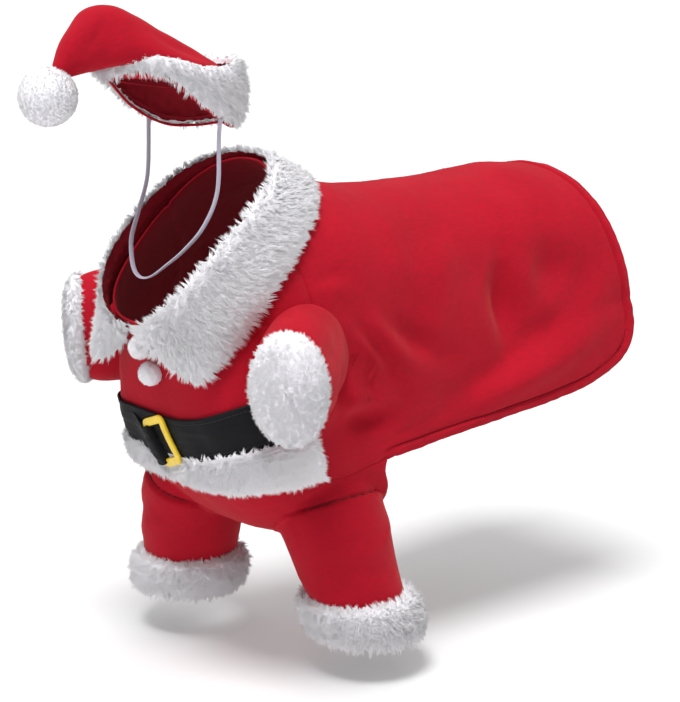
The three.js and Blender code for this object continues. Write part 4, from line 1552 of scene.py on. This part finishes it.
buttonRadius = 10
shortFur = {"perClump": 8, "clumpWide": 0.5, "wide": 0.42, "gather": 0.15, "stray": 0.3, "crisp": 0.12}
shortFur.update(deep=2.4, thin=(0, 0))
for name, height, seed in [("upper", -106, 151), ("lower", -130, 161)]:
    place, out = frontSpotAt(0.0, height)
    fur = dict(shortFur, locks=2600, long=1.5, stand=1.0, seed=seed)
    centre = place + out * (seatGap + buttonRadius * 0.5)
    makeBall(f"button_{name}_ball", f"button_{name}", centre, buttonRadius, fur, (place, out))
print("buttons done")


# The hat

hatRows = table(
    ("topY", "topZ", "lowY", "lowZ", "half"),
    [
        (-86, 84, -178, 101, 44),
        (-95, 101, -184, 109, 43),
        (-118, 117, -190, 111, 39),
        (-148, 135, -198, 110, 33),
        (-170, 149, -205, 108.5, 28),
        (-189, 157, -210, 108, 23),
        (-206, 155, -215, 107.5, 18.5),
        (-218, 145, -219, 107, 14),
        (-228, 133, -223, 106.5, 10.5),
        (-235, 119, -226, 106, 7),
    ],
)
hatRoll = 0.12
pompomMiddle = np.array([0, -242, 94.0])
hatFolds = [
    fold(-2.0, 6, (1.2, 40), (2.4, 60), (3.6, 62)),
    fold(1.8, 6, (1.1, 75), (2.2, 88), (3.6, 84)),
    fold(-1.6, 5, (5.0, 60), (5.8, 85), (6.6, 80)),
    fold(-1.4, 4, (6.2, 50), (6.9, 80), (7.4, 110)),
    fold(-2.0, 6, (1.3, -50), (2.5, -60), (3.9, -55)),
    fold(1.6, 6, (1.1, -85), (2.3, -95), (3.8, -90)),
    fold(-1.5, 5, (5.6, -60), (6.2, -85), (6.9, -95)),
    fold(-1.4, 6, (1.1, 8), (2.0, -6), (3.2, 4)),
]


def hatRing(row, t):
    s = between(hatRows, row)
    p = hoop(s, -s["half"] * boxy(np.sin(t), 0.9), np.cos(t))
    p[..., 2] += hatRoll * p[..., 0]
    return p


def makeHat():
    row, t = mesh2(np.linspace(0, 9, 90), turns(84))
    p, n = spotOn(hatRing, row, t)
    n = toward(n, p - p.mean(1, keepdims=True))
    # the seam runs along the lower side of the cone, and the point goes into the pompom
    seam_shadow = np.abs(np.angle(np.exp(1j * (t - math.pi)))) * 20
    lift = 0.3 * ripple(p, 26, 41) + relief(p, laid(hatFolds, hatRing)) - np.exp(-((seam_shadow / 1.6) ** 2))
    p = p + n * lift[..., None]
    into = np.array([0.25, 0.5, 0.7])[:, None, None]
    p = np.concatenate([p, p[-1:] + (pompomMiddle - p[-1:]) * into])
    n = np.concatenate([n, n[-3:]])
    cone = clothShell("hat_cloth", p, gridNormals(p, n, True), clothThick, [red, redInside], True)
    return dressed(cone, "red_cloth", "hat_cone")


hatCloth = makeHat()

brimRows = table(
    ("low", "high", "thick"),
    [(101, 15, 8), (106, 15, 9), (98, 18, 10), (75, 32, 13), (59, 47, 16), (56, 54, 17), (58, 52, 17)],
)
brimOval = {"y": -134, "halfWide": 47, "halfLong": 53}


def makeBrim():
    # A roll of fur: the locks stand on its outside, and the hat's lining shows inside
    turn, t = mesh2(np.linspace(0, 2 * math.pi, 160), np.linspace(0, 190, 22) * degree)
    away = np.abs(np.where(turn > math.pi, turn - 2 * math.pi, turn)) / math.pi
    s = between(brimRows, away * 6)
    out = np.stack([np.sin(turn), -np.cos(turn), 0 * turn], -1)
    x, y = brimOval["halfWide"] * out[..., 0], brimOval["y"] + brimOval["halfLong"] * out[..., 1]
    centre = np.stack([x, y, s["low"] + s["high"] / 2], -1)
    across = out * (s["thick"] / 2 * np.sin(t))[..., None]
    p = centre + across
    p[..., 2] += s["high"] / 2 * np.cos(t) + hatRoll * p[..., 0]
    p, like = p.transpose(1, 0, 2), across.transpose(1, 0, 2)
    like = like + np.array([0, 0, 1.0]) * np.cos(t.T)[..., None]
    n = closedNormals(p, like)
    deep = s["thick"].T * 0.55
    fur = dict(longFur, locks=16500, long=8, stand=0.5, seed=171, thin=(0, 1))
    # on top the hat's cloth presses the fur down, except at the back
    free = smooth(away.T, 0.62, 0.85)
    pressed = smooth(-t.T, -85 * degree, -35 * degree) * (1 - free)
    fur["lying"] = (1 - 0.7 * pressed) * (1 - 0.75 * smooth(t.T, 150 * degree, 178 * degree))
    flow = {"flow": (0.15, 0.5), "edges": (0, 0.1, 0.2)}
    base, locks = makeFur("brim", "hat_brim", p, n, deep, fur, under=redInside, loop=True, **flow)
    inner = p[-1] + np.array([0, 0, -0.4])
    dressed(tubeAlong("brim_piping", inner, 1.1, 1.1, n[-1], red), "red_cloth")
    return base, locks


brimBase, brimLocks = makeBrim()
pompomFur = dict(shortFur, locks=13000, long=2.0, stand=1.3, seed=191)
makeBall("pompom", "hat_pompom", pompomMiddle, 22, pompomFur)
print("hat done")


# What is cloth, and the size it was cut to


cuts = [
    (backCloth, (0.44, 0.40), 0.172, "draped", hemThread),
    (jacketCloth, (0.25, 0.18), 0.044, "stretched", []),
    (trouserCloth, (0.36, 0.26), 0.07, "hung", []),
    (collarBase, (0.42, 0.075), 0.027, "folded", collarLocks),
    (bandBase, (0.27, 0.04), 0.0105, "stretched", bandLocks),
    (beltCloth, (0.32, 0.034), 0.0108, "stretched", beltThread),
    (hatCloth, (0.22, 0.18), 0.02, "draped", []),
    (brimBase, (0.32, 0.038), 0.012, "stretched", brimLocks),
    (cuffBase["left"], (0.27, 0.037), 0.0098, "folded", cuffLocks["left"]),
    (cuffBase["right"], (0.26, 0.037), 0.0096, "folded", cuffLocks["right"]),
]
for cloth, flat, area, held, others in cuts:
    list(others)
print("cloth done")


# Floor and light, in metres

stage = {"floor": -0.385, "half": 14}


def makeStage():
    mesh = bpy.data.meshes.new("floor")
    h, z = stage["half"], stage["floor"]
    mesh.from_pydata([(-h, -h, z), (h, -h, z), (h, h, z), (-h, h, z)], [], [(0, 1, 2, 3)])
    floor = bpy.data.objects.new("floor", mesh)
    bpy.context.collection.objects.link(floor)
    g = Graph("floor_paper")
    haze = g.noise(900, 2, 0.5)
    paper = g.mix(haze, (0.62, 0.62, 0.625), (0.64, 0.64, 0.645))
    glow = {"Emission_Color": (1, 1, 1, 1), "Emission_Strength": 0.2}
    mesh.materials.append(g.finish(Base_Color=paper, Roughness=0.8, Specular_IOR_Level=0.1, **glow))


def makeLight(name, kind, place, target, strength, **settings):
    data = bpy.data.lights.new(name, kind)
    data.energy = strength
    for setting, value in settings.items():
        setattr(data, setting, value)
    lamp = bpy.data.objects.new(name, data)
    lamp.location = place
    lamp.rotation_mode = "QUATERNION"
    lamp.rotation_quaternion = (Vector(place) - Vector(target)).to_track_quat("Z", "Y")
    bpy.context.collection.objects.link(lamp)


makeStage()
middle = (0, 0, -0.12)
makeLight("key", "SUN", (0.25, -0.45, 1.45), middle, 3.1, angle=24 * degree)
makeLight("overhead", "SUN", (-0.3, 0.3, 1.5), middle, 0.6, angle=80 * degree)
makeLight("front", "AREA", (-0.6, -2.2, 0.7), middle, 3, shape="DISK", size=1.3)


def makeWorld():
    # Soft light all round, brighter low down as pale walls are
    world = bpy.data.worlds.new("studio")
    world.use_nodes = True
    tree = world.node_tree
    sky = tree.nodes["Background"]
    place = tree.nodes.new("ShaderNodeTexCoord")
    apart = tree.nodes.new("ShaderNodeSeparateXYZ")
    ramp = tree.nodes.new("ShaderNodeMapRange")
    for i, value in enumerate((0.05, 0.6, 0.45, 0.40)):
        ramp.inputs[i + 1].default_value = value
    tree.links.new(place.outputs["Generated"], apart.inputs[0])
    tree.links.new(apart.outputs["Z"], ramp.inputs[0])
    tree.links.new(ramp.outputs[0], sky.inputs["Strength"])
    sky.inputs["Color"].default_value = (1, 1, 1, 1)
    bpy.context.scene.world = world


makeWorld()
bpy.context.scene.view_settings.view_transform = "Standard"
